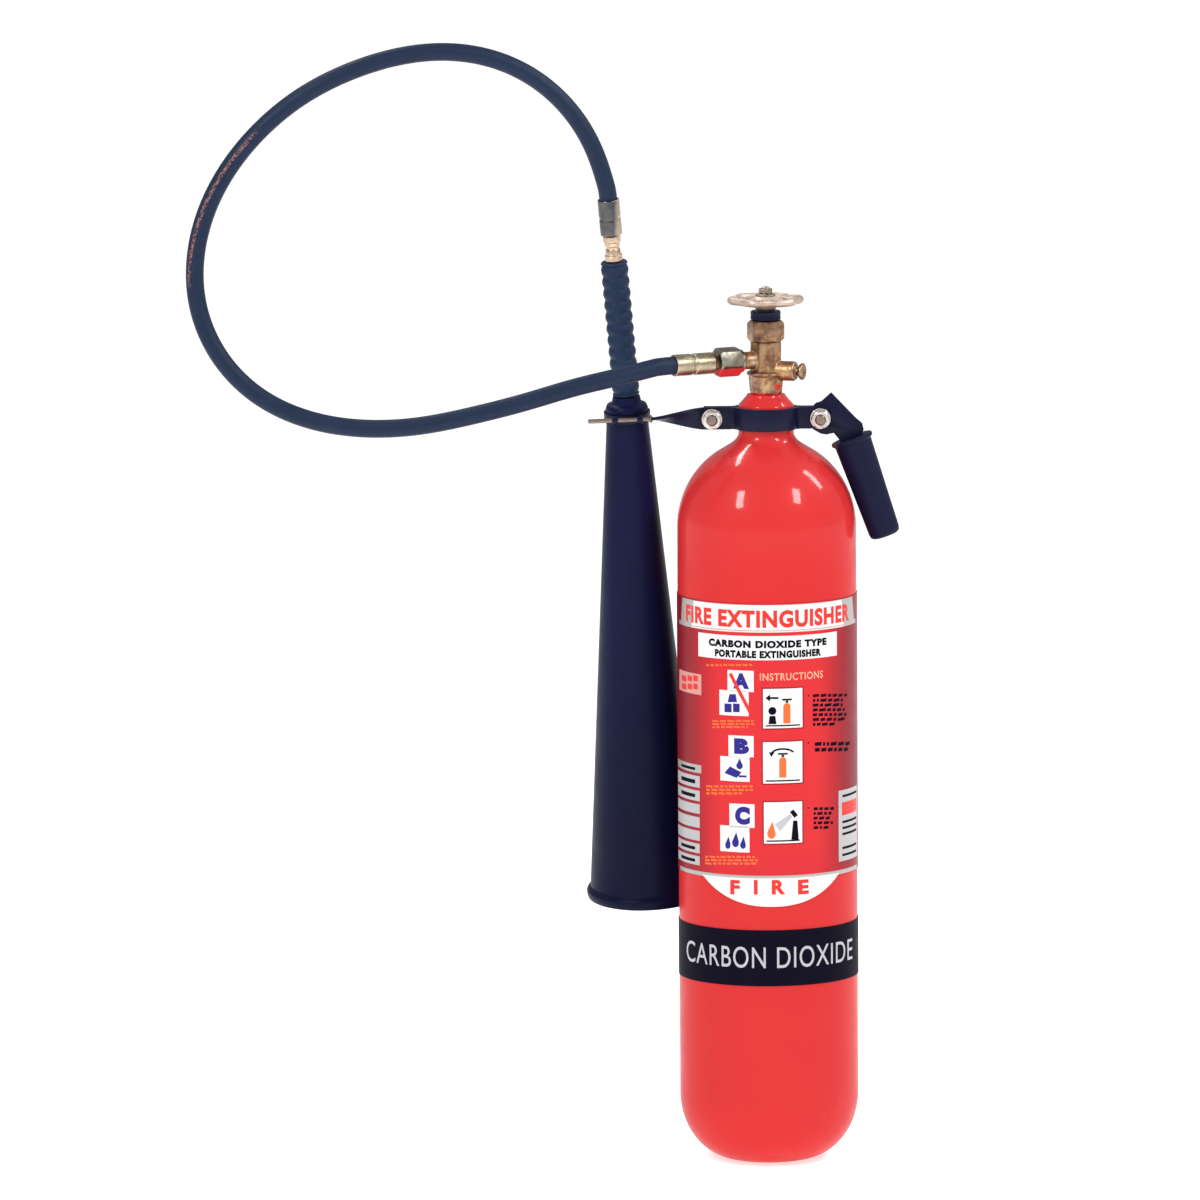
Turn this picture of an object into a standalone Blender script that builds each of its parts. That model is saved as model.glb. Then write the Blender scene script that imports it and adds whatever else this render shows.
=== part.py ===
"""Carbon-dioxide fire extinguisher: steel cylinder, brass wheel valve, hose and discharge horn.

Metres, +Z up.  The origin is the centre of the flat foot that the cylinder stands on.
+X runs to the carry handle, -X to the horn, and -Y is the front, where the label is.
Sizes in the tables below are millimetres, and MM turns them into metres.
"""
import math

import bmesh
import bpy
from mathutils import Matrix, Vector

for old in list(bpy.data.objects):
    bpy.data.objects.remove(old, do_unlink=True)

MM = 0.001
GAP = 0.3                      # clearance kept between touching pieces

# ---------------------------------------------------------------- driving dimensions
CYL_R = 69.8                   # outer radius of the cylinder
CYL_WALL = 5.0
FOOT_R = 26.0                  # flat foot
BASE_H = 52.0                  # height of the rounded base
SHOULDER_Z = 499.0             # centre height of the shoulder sphere
NECK_R = 21.6
NECK_Z = 594.0
NECK_TOP_Z = 602.5
NECK_BORE_R = 11.9

LABEL_R = 70.1
LABEL_T = 0.25
LABEL_Z = (232.5, 446.5)
BAND_Z = (146.0, 188.5)

OUTLET_Z = 629.5               # height of the hose outlet
OUTLET_DEG = 27.0              # the outlet points this far forward of -X
SAFETY_Z = 621.0
SAFETY_DEG = 20.0              # the safety outlet points this far forward of +X

STRAP_T = 3.0                  # thickness of the black straps
STRAP_Z = (575.4, 592.6)
BOLT_X = 42.2
BOLT_Z = 583.4

HORN_TOP = Vector((-108.1, 20.6, 582.5))      # horn axis, top wall
HORN_MOUTH = Vector((-94.1, 71.6, 197.1))     # horn axis, mouth
HORN_LEN = 389.0
HORN_WALL = 2.6
GRIP_FOOT = Vector((-108.7, 18.4, 599.3))     # where the grip tube leaves the horn socket
GRIP_DIR = Vector((-0.083, -0.1313, 0.9878)).normalized()
GRIP_LEN = 108.5
PIN_DIR = Vector((-0.99945, 0.0, -0.0332)).normalized()
PIN_MID = Vector((-108.1, 0.0, 582.5))

HOSE_R = 7.0
HANDLE_DEG = 19.0              # the carry grip hangs this far off the vertical
HANDLE_FLANGE = (24.6, -17.1)  # flange centre from the pivot, X and Z

OUTLET_DIR = Vector((-math.cos(math.radians(OUTLET_DEG)), -math.sin(math.radians(OUTLET_DEG)), 0.0))
SAFETY_DIR = Vector((math.cos(math.radians(SAFETY_DEG)), -math.sin(math.radians(SAFETY_DEG)), 0.0))
HORN_UP = (HORN_TOP - HORN_MOUTH).normalized()

# ---------------------------------------------------------------- collections and materials
scene = bpy.context.scene
PARTS = bpy.data.collections.new("fire_extinguisher")
CUTTERS = bpy.data.collections.new("cutters")
scene.collection.children.link(PARTS)
scene.collection.children.link(CUTTERS)


def material(name, color, rough, metal):
    mat = bpy.data.materials.new(name)
    mat.use_nodes = True
    bsdf = mat.node_tree.nodes["Principled BSDF"]
    bsdf.inputs["Base Color"].default_value = (*color, 1.0)
    bsdf.inputs["Roughness"].default_value = rough
    bsdf.inputs["Metallic"].default_value = metal
    mat.diffuse_color = (*color, 1.0)
    return mat


LOOKS = {
    "red_enamel": ((0.82, 0.07, 0.045), 0.35, 0.0),
    "label_print": ((0.70, 0.05, 0.06), 0.40, 0.0),
    "black_print": ((0.01, 0.012, 0.02), 0.40, 0.0),
    "brass": ((0.62, 0.42, 0.20), 0.38, 1.0),
    "zinc": ((0.72, 0.68, 0.52), 0.35, 1.0),
    "cast_aluminium": ((0.78, 0.70, 0.62), 0.50, 1.0),
    "steel": ((0.55, 0.55, 0.56), 0.35, 1.0),
    "black_enamel": ((0.012, 0.014, 0.022), 0.40, 0.0),
    "black_plastic": ((0.012, 0.015, 0.028), 0.45, 0.0),
    "rubber": ((0.012, 0.014, 0.024), 0.60, 0.0),
    "fibre": ((0.55, 0.50, 0.42), 0.80, 0.0),
}


def finish_object(obj, look):
    """Give the object its own material and put it with the parts."""
    color, rough, metal = LOOKS[look]
    obj.data.materials.clear()
    obj.data.materials.append(material(obj.name + "_" + look, color, rough, metal))
    PARTS.objects.link(obj)
    return obj


def as_cutter(obj):
    CUTTERS.objects.link(obj)
    obj.hide_render = True
    obj.display_type = 'WIRE'
    return obj


def frame_along(direction, origin):
    """Matrix that turns local +Z along the direction, with its origin at a point in millimetres."""
    quat = Vector((0.0, 0.0, 1.0)).rotation_difference(Vector(direction).normalized())
    return Matrix.Translation(Vector(origin) * MM) @ quat.to_matrix().to_4x4()


UPRIGHT = Matrix.Identity(4)
OUTLET = frame_along(OUTLET_DIR, (0, 0, OUTLET_Z))
SAFETY = frame_along(SAFETY_DIR, (0, 0, SAFETY_Z))
HORN = frame_along(-HORN_UP, HORN_TOP)          # local +Z runs down the horn
GRIP = frame_along(GRIP_DIR, GRIP_FOOT)
PIN = frame_along(PIN_DIR, PIN_MID)


# ---------------------------------------------------------------- shape helpers
def turned(name, profile, steps=32, place=UPRIGHT, look=None):
    """Turn a closed (radius, height) outline about local Z.

    A point at radius 0 lies on the axis; two of them in a row are the open part of the outline.
    """
    pts = list(profile)
    area = sum(a[0] * b[1] - b[0] * a[1] for a, b in zip(pts, pts[1:] + pts[:1]))
    if area > 0:
        pts.reverse()
    on_axis = [i for i, p in enumerate(pts) if p[0] < 1e-6]
    closed = not on_axis
    if on_axis:
        count = len(pts)
        for i in on_axis:
            if (i + 1) % count in on_axis:
                pts = pts[(i + 1) % count:] + pts[:(i + 1) % count]
                break
    mesh = bpy.data.meshes.new(name)
    edges = [(i, i + 1) for i in range(len(pts) - 1)]
    if closed:
        edges.append((len(pts) - 1, 0))
    mesh.from_pydata([(r * MM, 0.0, z * MM) for r, z in pts], edges, [])
    obj = bpy.data.objects.new(name, mesh)
    screw = obj.modifiers.new("turn", 'SCREW')
    screw.axis = 'Z'
    screw.angle = 2 * math.pi
    screw.steps = steps
    screw.render_steps = steps
    screw.use_merge_vertices = True
    screw.merge_threshold = 0.00001
    screw.use_smooth_shade = True
    obj.matrix_world = place
    return finish_object(obj, look) if look else as_cutter(obj)


def prism(name, sides, r1, r2, z1, z2, place=UPRIGHT, look=None, turn_deg=0.0, flats=False):
    """Straight or tapered prism along local Z; the radii go to corners, or to flats."""
    scale = 1.0 / math.cos(math.pi / sides) if flats else 1.0
    mesh = bpy.data.meshes.new(name)
    bm = bmesh.new()
    bmesh.ops.create_cone(bm, cap_ends=True, cap_tris=False, segments=sides,
                          radius1=r1 * scale * MM, radius2=r2 * scale * MM, depth=(z2 - z1) * MM,
                          matrix=Matrix.Translation((0, 0, (z1 + z2) / 2 * MM))
                          @ Matrix.Rotation(math.radians(turn_deg), 4, 'Z'))
    bm.to_mesh(mesh)
    bm.free()
    obj = bpy.data.objects.new(name, mesh)
    obj.matrix_world = place
    return finish_object(obj, look) if look else as_cutter(obj)


def box(name, size, center, place=UPRIGHT, look=None):
    mesh = bpy.data.meshes.new(name)
    bm = bmesh.new()
    bmesh.ops.create_cube(bm, size=1.0, matrix=Matrix.Translation(Vector(center) * MM)
                          @ Matrix.Diagonal((size[0] * MM, size[1] * MM, size[2] * MM, 1.0)))
    bm.to_mesh(mesh)
    bm.free()
    obj = bpy.data.objects.new(name, mesh)
    obj.matrix_world = place
    return finish_object(obj, look) if look else as_cutter(obj)


def combine(obj, other, how):
    mod = obj.modifiers.new(how.lower(), 'BOOLEAN')
    mod.operation = how
    mod.object = other
    mod.solver = 'EXACT'
    return obj


def cut(obj, other):
    return combine(obj, other, 'DIFFERENCE')


def join(obj, other):
    return combine(obj, other, 'UNION')


def curve_to_mesh(curve_obj, name):
    """Make a curve's evaluated surface a mesh object with welded caps."""
    place = curve_obj.matrix_world.copy()
    scene.collection.objects.link(curve_obj)
    graph = bpy.context.evaluated_depsgraph_get()
    mesh = bpy.data.meshes.new_from_object(curve_obj.evaluated_get(graph))
    mesh.name = name
    bm = bmesh.new()
    bm.from_mesh(mesh)
    bmesh.ops.remove_doubles(bm, verts=bm.verts, dist=0.000005)
    bmesh.ops.recalc_face_normals(bm, faces=bm.faces)
    bm.to_mesh(mesh)
    bm.free()
    bpy.data.objects.remove(curve_obj, do_unlink=True)
    obj = bpy.data.objects.new(name, mesh)
    obj.matrix_world = place
    return obj


def plate(name, outlines, thickness, place, look=None):
    """Flat plate: the first outline is its edge, and any others are holes in it."""
    curve = bpy.data.curves.new(name + "_outline", 'CURVE')
    curve.dimensions = '2D'
    curve.fill_mode = 'BOTH'
    curve.extrude = thickness / 2 * MM
    for outline in outlines:
        spline = curve.splines.new('POLY')
        spline.points.add(len(outline) - 1)
        for point, (x, y) in zip(spline.points, outline):
            point.co = (x * MM, y * MM, 0.0, 1.0)
        spline.use_cyclic_u = True
    guide = bpy.data.objects.new(name + "_outline", curve)
    guide.matrix_world = place
    obj = curve_to_mesh(guide, name)
    return finish_object(obj, look) if look else as_cutter(obj)


def arc(cx, cy, radius, a0, a1, count):
    """Points on an arc, the angles in degrees."""
    return [(cx + radius * math.cos(math.radians(a0 + (a1 - a0) * i / count)),
             cy + radius * math.sin(math.radians(a0 + (a1 - a0) * i / count)))
            for i in range(count + 1)]


def ring(name, r_in, r_out, z1, z2, steps=24, place=UPRIGHT, look=None):
    return turned(name, [(r_in, z1), (r_out, z1), (r_out, z2), (r_in, z2)], steps, place, look)


def hexagon_nut(name, across, z1, z2, inner, place, look, chamfer=(True, True), turn_deg=0.0):
    """Hexagon of a width across flats, its ends chamfered; inner lists the bore from z1 to z2."""
    nut = prism(name, 6, across / 2, across / 2, z1, z2, place, look, turn_deg, flats=True)
    corner = across / 2 / math.cos(math.pi / 6)
    depth = (corner - across / 2) * 0.6
    outer = [(corner + 1, z1 - 1)] if not chamfer[0] else [
        (across / 2 * 0.97 - 1.2, z1 - 1.2 * 0.6), (across / 2 * 0.97, z1 - 0.0), (corner + 1.0, z1 + depth + 0.6)]
    outer += [(corner + 1, z2 + 1)] if not chamfer[1] else [
        (corner + 1.0, z2 - depth - 0.6), (across / 2 * 0.97, z2 + 0.0), (across / 2 * 0.97 - 1.2, z2 + 1.2 * 0.6)]
    bore = list(inner)
    bore[0] = (bore[0][0], outer[0][1])
    bore[-1] = (bore[-1][0], outer[-1][1])
    turned_body = turned(name + "_turning", outer + bore[::-1], 20, place)
    return combine(nut, turned_body, 'INTERSECT')


# ---------------------------------------------------------------- empties on the joint axes
def pivot(name, point):
    empty = bpy.data.objects.new(name, None)
    empty.location = Vector(point) * MM
    empty.empty_display_size = 0.02
    PARTS.objects.link(empty)
    return empty


def hang_on(empty, *objects):
    for obj in objects:
        obj.parent = empty
        obj.matrix_parent_inverse = Matrix.Translation(empty.location).inverted()


handwheel_axis = pivot("handwheel_axis", (0, 0, 677))
plug_axis = pivot("valve_plug_axis", (0, 0, 634))
horn_axis = pivot("horn_pin_axis", PIN_MID)
handle_axis = pivot("carry_handle_axis", (BOLT_X, 0, BOLT_Z))


# ---------------------------------------------------------------- cylinder
def shell_profile():
    """Outside from the foot up to the lip, then the inside back down to the middle of the floor."""
    outer = [(0.0, 0.0), (FOOT_R, 0.0)]
    for i in range(1, 6):                                  # rounded base: a quarter ellipse
        t = i / 5 * math.pi / 2
        outer.append((FOOT_R + (CYL_R - FOOT_R) * math.sin(t), BASE_H * (1 - math.cos(t))))
    for i in range(6):                                     # shoulder: part of a sphere
        t = math.radians(50.0 * i / 5)
        outer.append((CYL_R * math.cos(t), SHOULDER_Z + CYL_R * math.sin(t)))
    r0, z0 = outer[-1]
    slope = math.radians(50.0)                             # hollow fillet up to the neck
    for i in range(1, 4):
        t = i / 3
        h0 = Vector((r0, z0))
        h1 = h0 + Vector((-math.sin(slope), math.cos(slope))) * 15.0
        h3 = Vector((NECK_R, 573.0))
        h2 = h3 + Vector((0.0, -9.0))
        p = h0 * (1 - t) ** 3 + h1 * 3 * t * (1 - t) ** 2 + h2 * 3 * t * t * (1 - t) + h3 * t ** 3
        outer.append((p.x, p.y))
    outer += [(NECK_R, NECK_Z), (15.0, 600.5), (14.8, NECK_TOP_Z)]
    inner = [(NECK_BORE_R, NECK_TOP_Z), (NECK_BORE_R, 571.0)]
    ri = CYL_R - CYL_WALL
    inner += [(18.0, 562.0), (34.0, 548.0)]
    for i in range(1, 4):
        t = math.radians(50.0 * (3 - i) / 3)
        inner.append((ri * math.cos(t), SHOULDER_Z + ri * math.sin(t)))
    for i in range(4):
        t = (3 - i) / 3 * math.pi / 2
        inner.append((22.0 + (ri - 22.0) * math.sin(t), 6.5 + (BASE_H - 6.5) * (1 - math.cos(t))))
    inner.append((0.0, 6.5))
    return outer + inner


turned("cylinder_shell", shell_profile(), 40, look="red_enamel")

# Dip tube: from the valve's foot to just over the floor, its end cut on a slant.
dip_tube = ring("dip_tube", 3.7, 5.2, 9.5, 589.5, 12, look="zinc")
cut(dip_tube, box("dip_tube_slant", (40, 40, 20), (0, 0, -10),
                  Matrix.Translation((0, 0, 15.5 * MM)) @ Matrix.Rotation(math.radians(35), 4, 'Y')))

# Printed skins: the instruction label goes most of the way round, and the band all the way.
half = 150.0
label_outline = arc(0, 0, LABEL_R + LABEL_T, -90 - half, -90 + half, 40)
label_outline += arc(0, 0, LABEL_R, -90 + half, -90 - half, 40)
plate("instruction_label", [label_outline], LABEL_Z[1] - LABEL_Z[0],
      Matrix.Translation((0, 0, sum(LABEL_Z) / 2 * MM)), "label_print")
ring("agent_band", LABEL_R, LABEL_R + LABEL_T, BAND_Z[0], BAND_Z[1], 40, look="black_print")

# ---------------------------------------------------------------- valve
# One brass forging: shank, tapered hexagon, eight-sided barrel, spigot, outlet boss, safety boss.
valve_body = turned("valve_body", [(0, 575), (11.5, 575), (11.5, 606), (0, 606)], 24, look="brass")
join(valve_body, prism("valve_hexagon", 6, 13.2, 14.5, 603.7, 618.5, turn_deg=12.0))
join(valve_body, turned("valve_rim", [(0, 617.2), (14.6, 617.8), (14.6, 619.6), (12.0, 620.4), (0, 620.4)], 24))
join(valve_body, prism("valve_barrel", 8, 11.7, 11.7, 616.0, 643.5, turn_deg=22.5, flats=True))
join(valve_body, turned("valve_spigot", [(0, 640), (10.9, 640), (10.9, 650), (0, 650)], 24))
join(valve_body, turned("outlet_boss", [(0, 4), (6.6, 4), (6.6, 20.5), (7.5, 21.3), (7.5, 31.0), (7.0, 31.5), (0, 31.5)],
                        18, OUTLET))
join(valve_body, turned("safety_boss", [(0, 4), (7.5, 4), (7.5, 24.0), (6.8, 24.8), (0, 24.8)], 18, SAFETY))
# Chamber from the top, raised seat, inlet and the dip tube's socket.
cut(valve_body, turned("valve_chamber", [(0, 652), (8.5, 652), (8.5, 626), (6, 626), (6, 627.5), (3, 627.5),
                                         (3, 590), (5.55, 590), (5.55, 573), (0, 573)], 20))
cut(valve_body, turned("outlet_passage", [(0, 7), (2.8, 7), (2.8, 33), (0, 33)], 12, OUTLET))
cut(valve_body, turned("safety_passage", [(0, 1.5), (1.8, 1.5), (1.8, 18), (5.0, 18), (5.0, 26), (0, 26)], 14, SAFETY))

# Plug and its soft pad close on the raised seat; a tang on the spindle turns the plug.
valve_plug = turned("valve_plug", [(0, 630.8), (6.2, 630.8), (6.2, 628.5), (8.1, 628.5), (8.1, 639.5), (0, 639.5)], 20,
                    look="brass")
cut(valve_plug, box("plug_slot", (3.6, 20, 8), (0, 0, 633.5 + 4.0)))
seat_pad = turned("seat_pad", [(0, 627.8), (5.9, 627.8), (5.9, 630.5), (0, 630.5)], 18, look="fibre")

spindle = turned("spindle", [(0, 644), (4.3, 644), (4.3, 645.5), (8.0, 645.5), (8.0, 649.6), (4.3, 649.6), (4.3, 668.0),
                             (3.0, 668.3), (3.0, 685.9), (2.4, 686.5), (0, 686.5)], 18, look="steel")
join(spindle, box("spindle_square", (7, 7, 11.2), (0, 0, 668.1 + 5.6)))
join(spindle, box("spindle_tang", (3.0, 12.5, 9.0), (0, 0, 637.2 + 4.5)))
thrust_washer = ring("thrust_washer", 4.8, 8.0, 649.95, 651.35, 18, look="fibre")
gland_packing = ring("gland_packing", 4.7, 7.0, 654.3, 657.5, 18, look="fibre")

hexagon_nut("bonnet_nut", 25.5, 643.8, 660.0,
            [(11.2, 643.8), (11.2, 650.3), (8.4, 650.3), (8.4, 651.7), (4.7, 651.7), (4.7, 654.0), (7.3, 654.0),
             (7.3, 660.0)], UPRIGHT, "brass", turn_deg=20.0)
turned("gland_nut", [(4.7, 657.8), (7.0, 657.8), (7.0, 660.3), (10.9, 660.3), (11.7, 661.1), (11.7, 667.0),
                     (10.9, 667.8), (4.7, 667.8)], 24, look="black_enamel")


# Handwheel: a six-lobed rim, a thin pierced web below it, and a hub on the spindle's square.
def lobed(radius, lobe, count):
    return [((radius + lobe * math.cos(6 * a)) * math.cos(a), (radius + lobe * math.cos(6 * a)) * math.sin(a))
            for a in (2 * math.pi * i / count for i in range(count))]


def circle(cx, cy, radius, count):
    return arc(cx, cy, radius, 0, 360 * (count - 1) / count, count - 1)


WHEEL_TURN = Matrix.Rotation(math.radians(10.0), 4, 'Z')
handwheel = plate("handwheel", [lobed(28.9, 1.6, 48), circle(0, 0, 22.6, 24)], 5.4,
                  Matrix.Translation((0, 0, 677.4 * MM)) @ WHEEL_TURN, "cast_aluminium")
join(handwheel, turned("wheel_web", [(0, 672.6), (10, 672.6), (24.2, 675.4), (24.2, 677.6), (10, 675.2), (0, 675.2)],
                       24, WHEEL_TURN))
join(handwheel, turned("wheel_hub", [(0, 668.5), (7.4, 668.5), (8.0, 669.2), (8.0, 678.8), (7.3, 679.5), (0, 679.5)], 16,
                       WHEEL_TURN))
for i in range(6):
    a = 2 * math.pi * (i + 0.5) / 6
    cut(handwheel, prism("wheel_window_%d" % i, 10, 4.3, 4.3, 670, 682,
                         WHEEL_TURN @ Matrix.Translation((15.6 * math.cos(a) * MM, 15.6 * math.sin(a) * MM, 0))))
cut(handwheel, box("wheel_square_hole", (7.6, 7.6, 20), (0, 0, 674)))
handwheel_washer = ring("handwheel_washer", 3.4, 6.5, 679.8, 680.8, 18, look="steel")
handwheel_nut = hexagon_nut("handwheel_nut", 10.0, 681.1, 685.6, [(3.35, 681.1), (3.35, 685.6)], UPRIGHT, "steel",
                            turn_deg=8.0)
hang_on(handwheel_axis, handwheel, spindle, handwheel_washer, handwheel_nut)
hang_on(plug_axis, valve_plug, seat_pad)

# Safety outlet: a thin disc that bursts, held by a cap screwed into the boss.
ring("safety_washer", 2.2, 4.5, 18.25, 18.85, 14, SAFETY, "fibre")
turned("burst_disc", [(0, 19.15), (4.5, 19.15), (4.5, 19.55), (0, 19.55)], 14, SAFETY, "steel")
safety_cap = turned("safety_cap", [(1.6, 19.85), (4.6, 19.85), (4.6, 24.6), (3.6, 25.2), (3.6, 27.0), (5.6, 27.6),
                                   (6.4, 28.4), (6.4, 30.8), (5.7, 31.5), (0, 31.5), (0, 29.6), (1.6, 29.6)],
                    16, SAFETY, "brass")
cut(safety_cap, prism("safety_cap_vents", 8, 0.8, 0.8, -8, 8,
                      SAFETY @ Matrix.Translation((0, 0, 26.1 * MM)) @ Matrix.Rotation(math.pi / 2, 4, 'X')))

# ---------------------------------------------------------------- hose connection at the valve
ring("outlet_washer", 3.0, 7.2, 31.8, 33.1, 18, OUTLET, "fibre")
hexagon_nut("swivel_nut", 21.5, 21.3 + 0.4, 43.6, [(7.9, 21.7), (7.9, 36.1), (5.6, 36.1), (5.6, 43.6)], OUTLET, "zinc",
            turn_deg=15.0)
turned("hose_tail_valve", [(2.2, 33.4), (7.2, 33.4), (7.2, 35.7), (5.2, 35.7), (5.2, 46.6), (3.4, 46.6), (3.4, 74.7),
                           (2.2, 74.7)], 14, OUTLET, "brass")
turned("hose_ferrule_valve", [(3.8, 46.9), (7.9, 46.9), (8.5, 47.6), (8.5, 64.4), (8.0, 64.9), (8.0, 66.2), (8.5, 66.7),
                              (8.5, 80.4), (8.1, 81.0), (7.35, 81.0), (7.35, 75.0), (3.8, 75.0)], 18, OUTLET, "zinc")

# ---------------------------------------------------------------- neck clamp
def clamp_outline(sign):
    """Plan of one clamp half: a half ring round the neck with an ear on each side."""
    r_in, r_out, near, far, end, fillet = 21.9, 24.9, 1.8, 4.8, 48.6, 5.0
    a_in = math.degrees(math.asin(near / r_in))
    fx = math.sqrt((r_out + fillet) ** 2 - (far + fillet) ** 2)
    a_out = math.degrees(math.atan2(far + fillet, fx))
    pts = [(end, near)]
    pts += arc(0, 0, r_in, a_in, 180 - a_in, 12)
    pts += [(-end, near), (-end, far)]
    pts += arc(-fx, far + fillet, fillet, -90, -a_out, 3)
    pts += arc(0, 0, r_out, 180 - a_out, a_out, 12)[1:-1]
    pts += arc(fx, far + fillet, fillet, 180 + a_out, 270, 3)
    pts += [(end, far)]
    return [(x, sign * y) for x, y in (pts if sign > 0 else pts[::-1])]


BOLT_AXIS = {}
for side, x in (("left", -BOLT_X), ("right", BOLT_X)):
    # Local +Z of each bolt points to the front, which is -Y.
    BOLT_AXIS[side] = frame_along((0, -1, 0), (x, 0, BOLT_Z))
CLAMP_MID = Matrix.Translation((0, 0, sum(STRAP_Z) / 2 * MM))
for name, sign in (("clamp_front", -1), ("clamp_back", 1)):
    strap = plate(name, [clamp_outline(sign)], STRAP_Z[1] - STRAP_Z[0], CLAMP_MID, "black_enamel")
    for side in ("left", "right"):
        cut(strap, prism("%s_%s_hole" % (name, side), 16, 4.3, 4.3, -12, 12, BOLT_AXIS[side]))

for side in ("left", "right"):
    place = BOLT_AXIS[side]
    bolt = prism("clamp_bolt_" + side, 6, 6.5, 6.5, -10.4, -5.1, place, "steel", flats=True)
    join(bolt, turned("bolt_shank_" + side, [(0, -8), (3.9, -8), (3.9, 14.4), (3.3, 15.0), (0, 15.0)], 14, place))
    ring("clamp_washer_" + side, 4.3, 8.0, 5.1, 6.5, 18, place, "zinc")
    hexagon_nut("clamp_nut_" + side, 13.0, 6.8, 13.3, [(4.2, 6.8), (4.2, 13.3)], place, "zinc",
                turn_deg=10.0 if side == "left" else 25.0)


# ---------------------------------------------------------------- arm and pin that carry the horn
def twisted_strap(name, x_start, x_end, look):
    """Strap along -X, gripped flat by the clamp, then twisted a quarter turn and drawn to a point."""
    length = x_start - x_end
    mesh = bpy.data.meshes.new(name)
    bm = bmesh.new()
    bmesh.ops.create_cube(bm, size=1.0, matrix=Matrix.Translation(((x_start + x_end) / 2, 0, 0))
                          @ Matrix.Diagonal((length, 1.0, 1.0, 1.0)))
    cuts = 11
    for i in range(cuts + 1):
        x = -50.0 + (x_end + 50.0) * i / (cuts + 1)
        bmesh.ops.bisect_plane(bm, geom=bm.verts[:] + bm.edges[:] + bm.faces[:], plane_co=(x, 0, 0),
                               plane_no=(1, 0, 0))
    for v in bm.verts:
        t = min(1.0, max(0.0, (-50.0 - v.co.x) / (-50.0 - x_end)))
        width = 17.2 + (7.0 - 17.2) * t
        thick = STRAP_T + (2.5 - STRAP_T) * t
        angle = math.radians(88.0) * t
        y, z = v.co.y * thick, v.co.z * width
        v.co = (v.co.x * MM, (y * math.cos(angle) - z * math.sin(angle)) * MM,
                (BOLT_Z + y * math.sin(angle) + z * math.cos(angle)) * MM)
    bm.to_mesh(mesh)
    bm.free()
    return finish_object(bpy.data.objects.new(name, mesh), look)


horn_arm = twisted_strap("horn_arm", -27.5, -89.5, "black_enamel")
cut(horn_arm, prism("horn_arm_hole", 16, 4.3, 4.3, -12, 12, BOLT_AXIS["left"]))
turned("horn_pin", [(0, -18.2), (1.75, -18.2), (1.75, 30.0), (1.2, 30.6), (0, 30.6)], 12, PIN, "steel")

# ---------------------------------------------------------------- horn
horn = turned("horn", [(6.6, -3.3), (16.6, -3.3), (16.6, 7.05), (17.2, 15.0), (26.2, 134.7), (35.4, 257.0),
                       (44.65, 380.0), (47.6, 381.0), (47.6, 386.2), (46.6, HORN_LEN), (44.9, HORN_LEN),
                       (42.1, 380.0), (32.9, 257.0), (23.6, 134.7), (14.6, 15.0), (13.2, 3.0), (6.6, 3.0)],
              32, HORN, "black_plastic")
horn_nozzle = turned("horn_nozzle", [(2.0, -7.0), (5.5, -7.0), (6.2, -6.0), (6.2, 3.3), (9.0, 3.3), (9.0, 6.2),
                                     (5.0, 7.0), (5.0, 14.0), (2.0, 14.0)], 16, HORN, "brass")
horn_socket = turned("horn_socket", [(6.9, -3.6), (16.5, -3.6), (16.5, -7.6), (15.4, -10.4), (11.6, -11.6), (10.6, -17.0),
                                     (6.4, -17.0), (6.4, -10.0), (6.9, -9.4)], 24, HORN, "black_plastic")
horn_neck_band = ring("horn_neck_band", 16.95, 18.15, -4.8, 1.6, 24, HORN, "steel")
join(horn_neck_band, turned("band_eye", [(0, -12.1), (3.2, -12.1), (3.2, 11.9), (0, 11.9)], 12, PIN))
cut(horn_neck_band, turned("band_eye_bore", [(0, -20), (2.15, -20), (2.15, 20), (0, 20)], 12, PIN))

# Grip: a steel tube in a ribbed rubber sleeve, with the hose adapter at its top.
grip_tube = ring("grip_tube", 3.2, 5.0, -8.4, 116.0, 12, GRIP, "zinc")


def ribbed(length, pitch, crest, valley, bore):
    """Sleeve profile with rounded ring ribs."""
    pts = [(bore, 1.0), (crest - 1.0, 1.0), (crest, 2.0)]
    count = int((length - 4.0) / pitch)
    start = (length - count * pitch) / 2 + 0.4
    for i in range(count + 1):
        z = start + i * pitch
        pts.append((valley, z))
        if i < count:
            pts += [(crest, z + pitch * 0.3), (crest, z + pitch * 0.7)]
    pts += [(crest, length - 0.9), (crest - 1.0, length), (bore, length)]
    return pts


horn_grip = turned("horn_grip", ribbed(GRIP_LEN, 9.4, 10.7, 9.3, 5.3), 16, GRIP, "rubber")
hose_tail_horn = turned("hose_tail_horn", [(5.3, 108.9), (6.3, 108.9), (6.9, 109.6), (6.9, 113.8), (5.9, 114.4),
                                           (5.9, 124.0), (6.8, 124.6), (6.8, 128.9), (6.2, 129.5), (3.4, 129.5),
                                           (3.4, 152.2), (2.2, 152.2), (2.2, 116.4), (5.3, 116.4)], 16, GRIP, "brass")
hose_ferrule_horn = turned("hose_ferrule_horn", [(3.8, 129.8), (7.9, 129.8), (8.5, 130.5), (8.5, 143.2), (8.0, 143.7),
                                                 (8.0, 145.0), (8.5, 145.5), (8.5, 157.9), (8.1, 158.5), (7.35, 158.5),
                                                 (7.35, 152.5), (3.8, 152.5)], 18, GRIP, "zinc")
hang_on(horn_axis, horn, horn_nozzle, horn_socket, horn_neck_band, grip_tube, horn_grip, hose_tail_horn,
        hose_ferrule_horn)

# ---------------------------------------------------------------- hose
HOSE_START = Vector((0, 0, OUTLET_Z)) + OUTLET_DIR * 75.5
HOSE_END = GRIP_FOOT + GRIP_DIR * 153.0
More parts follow.
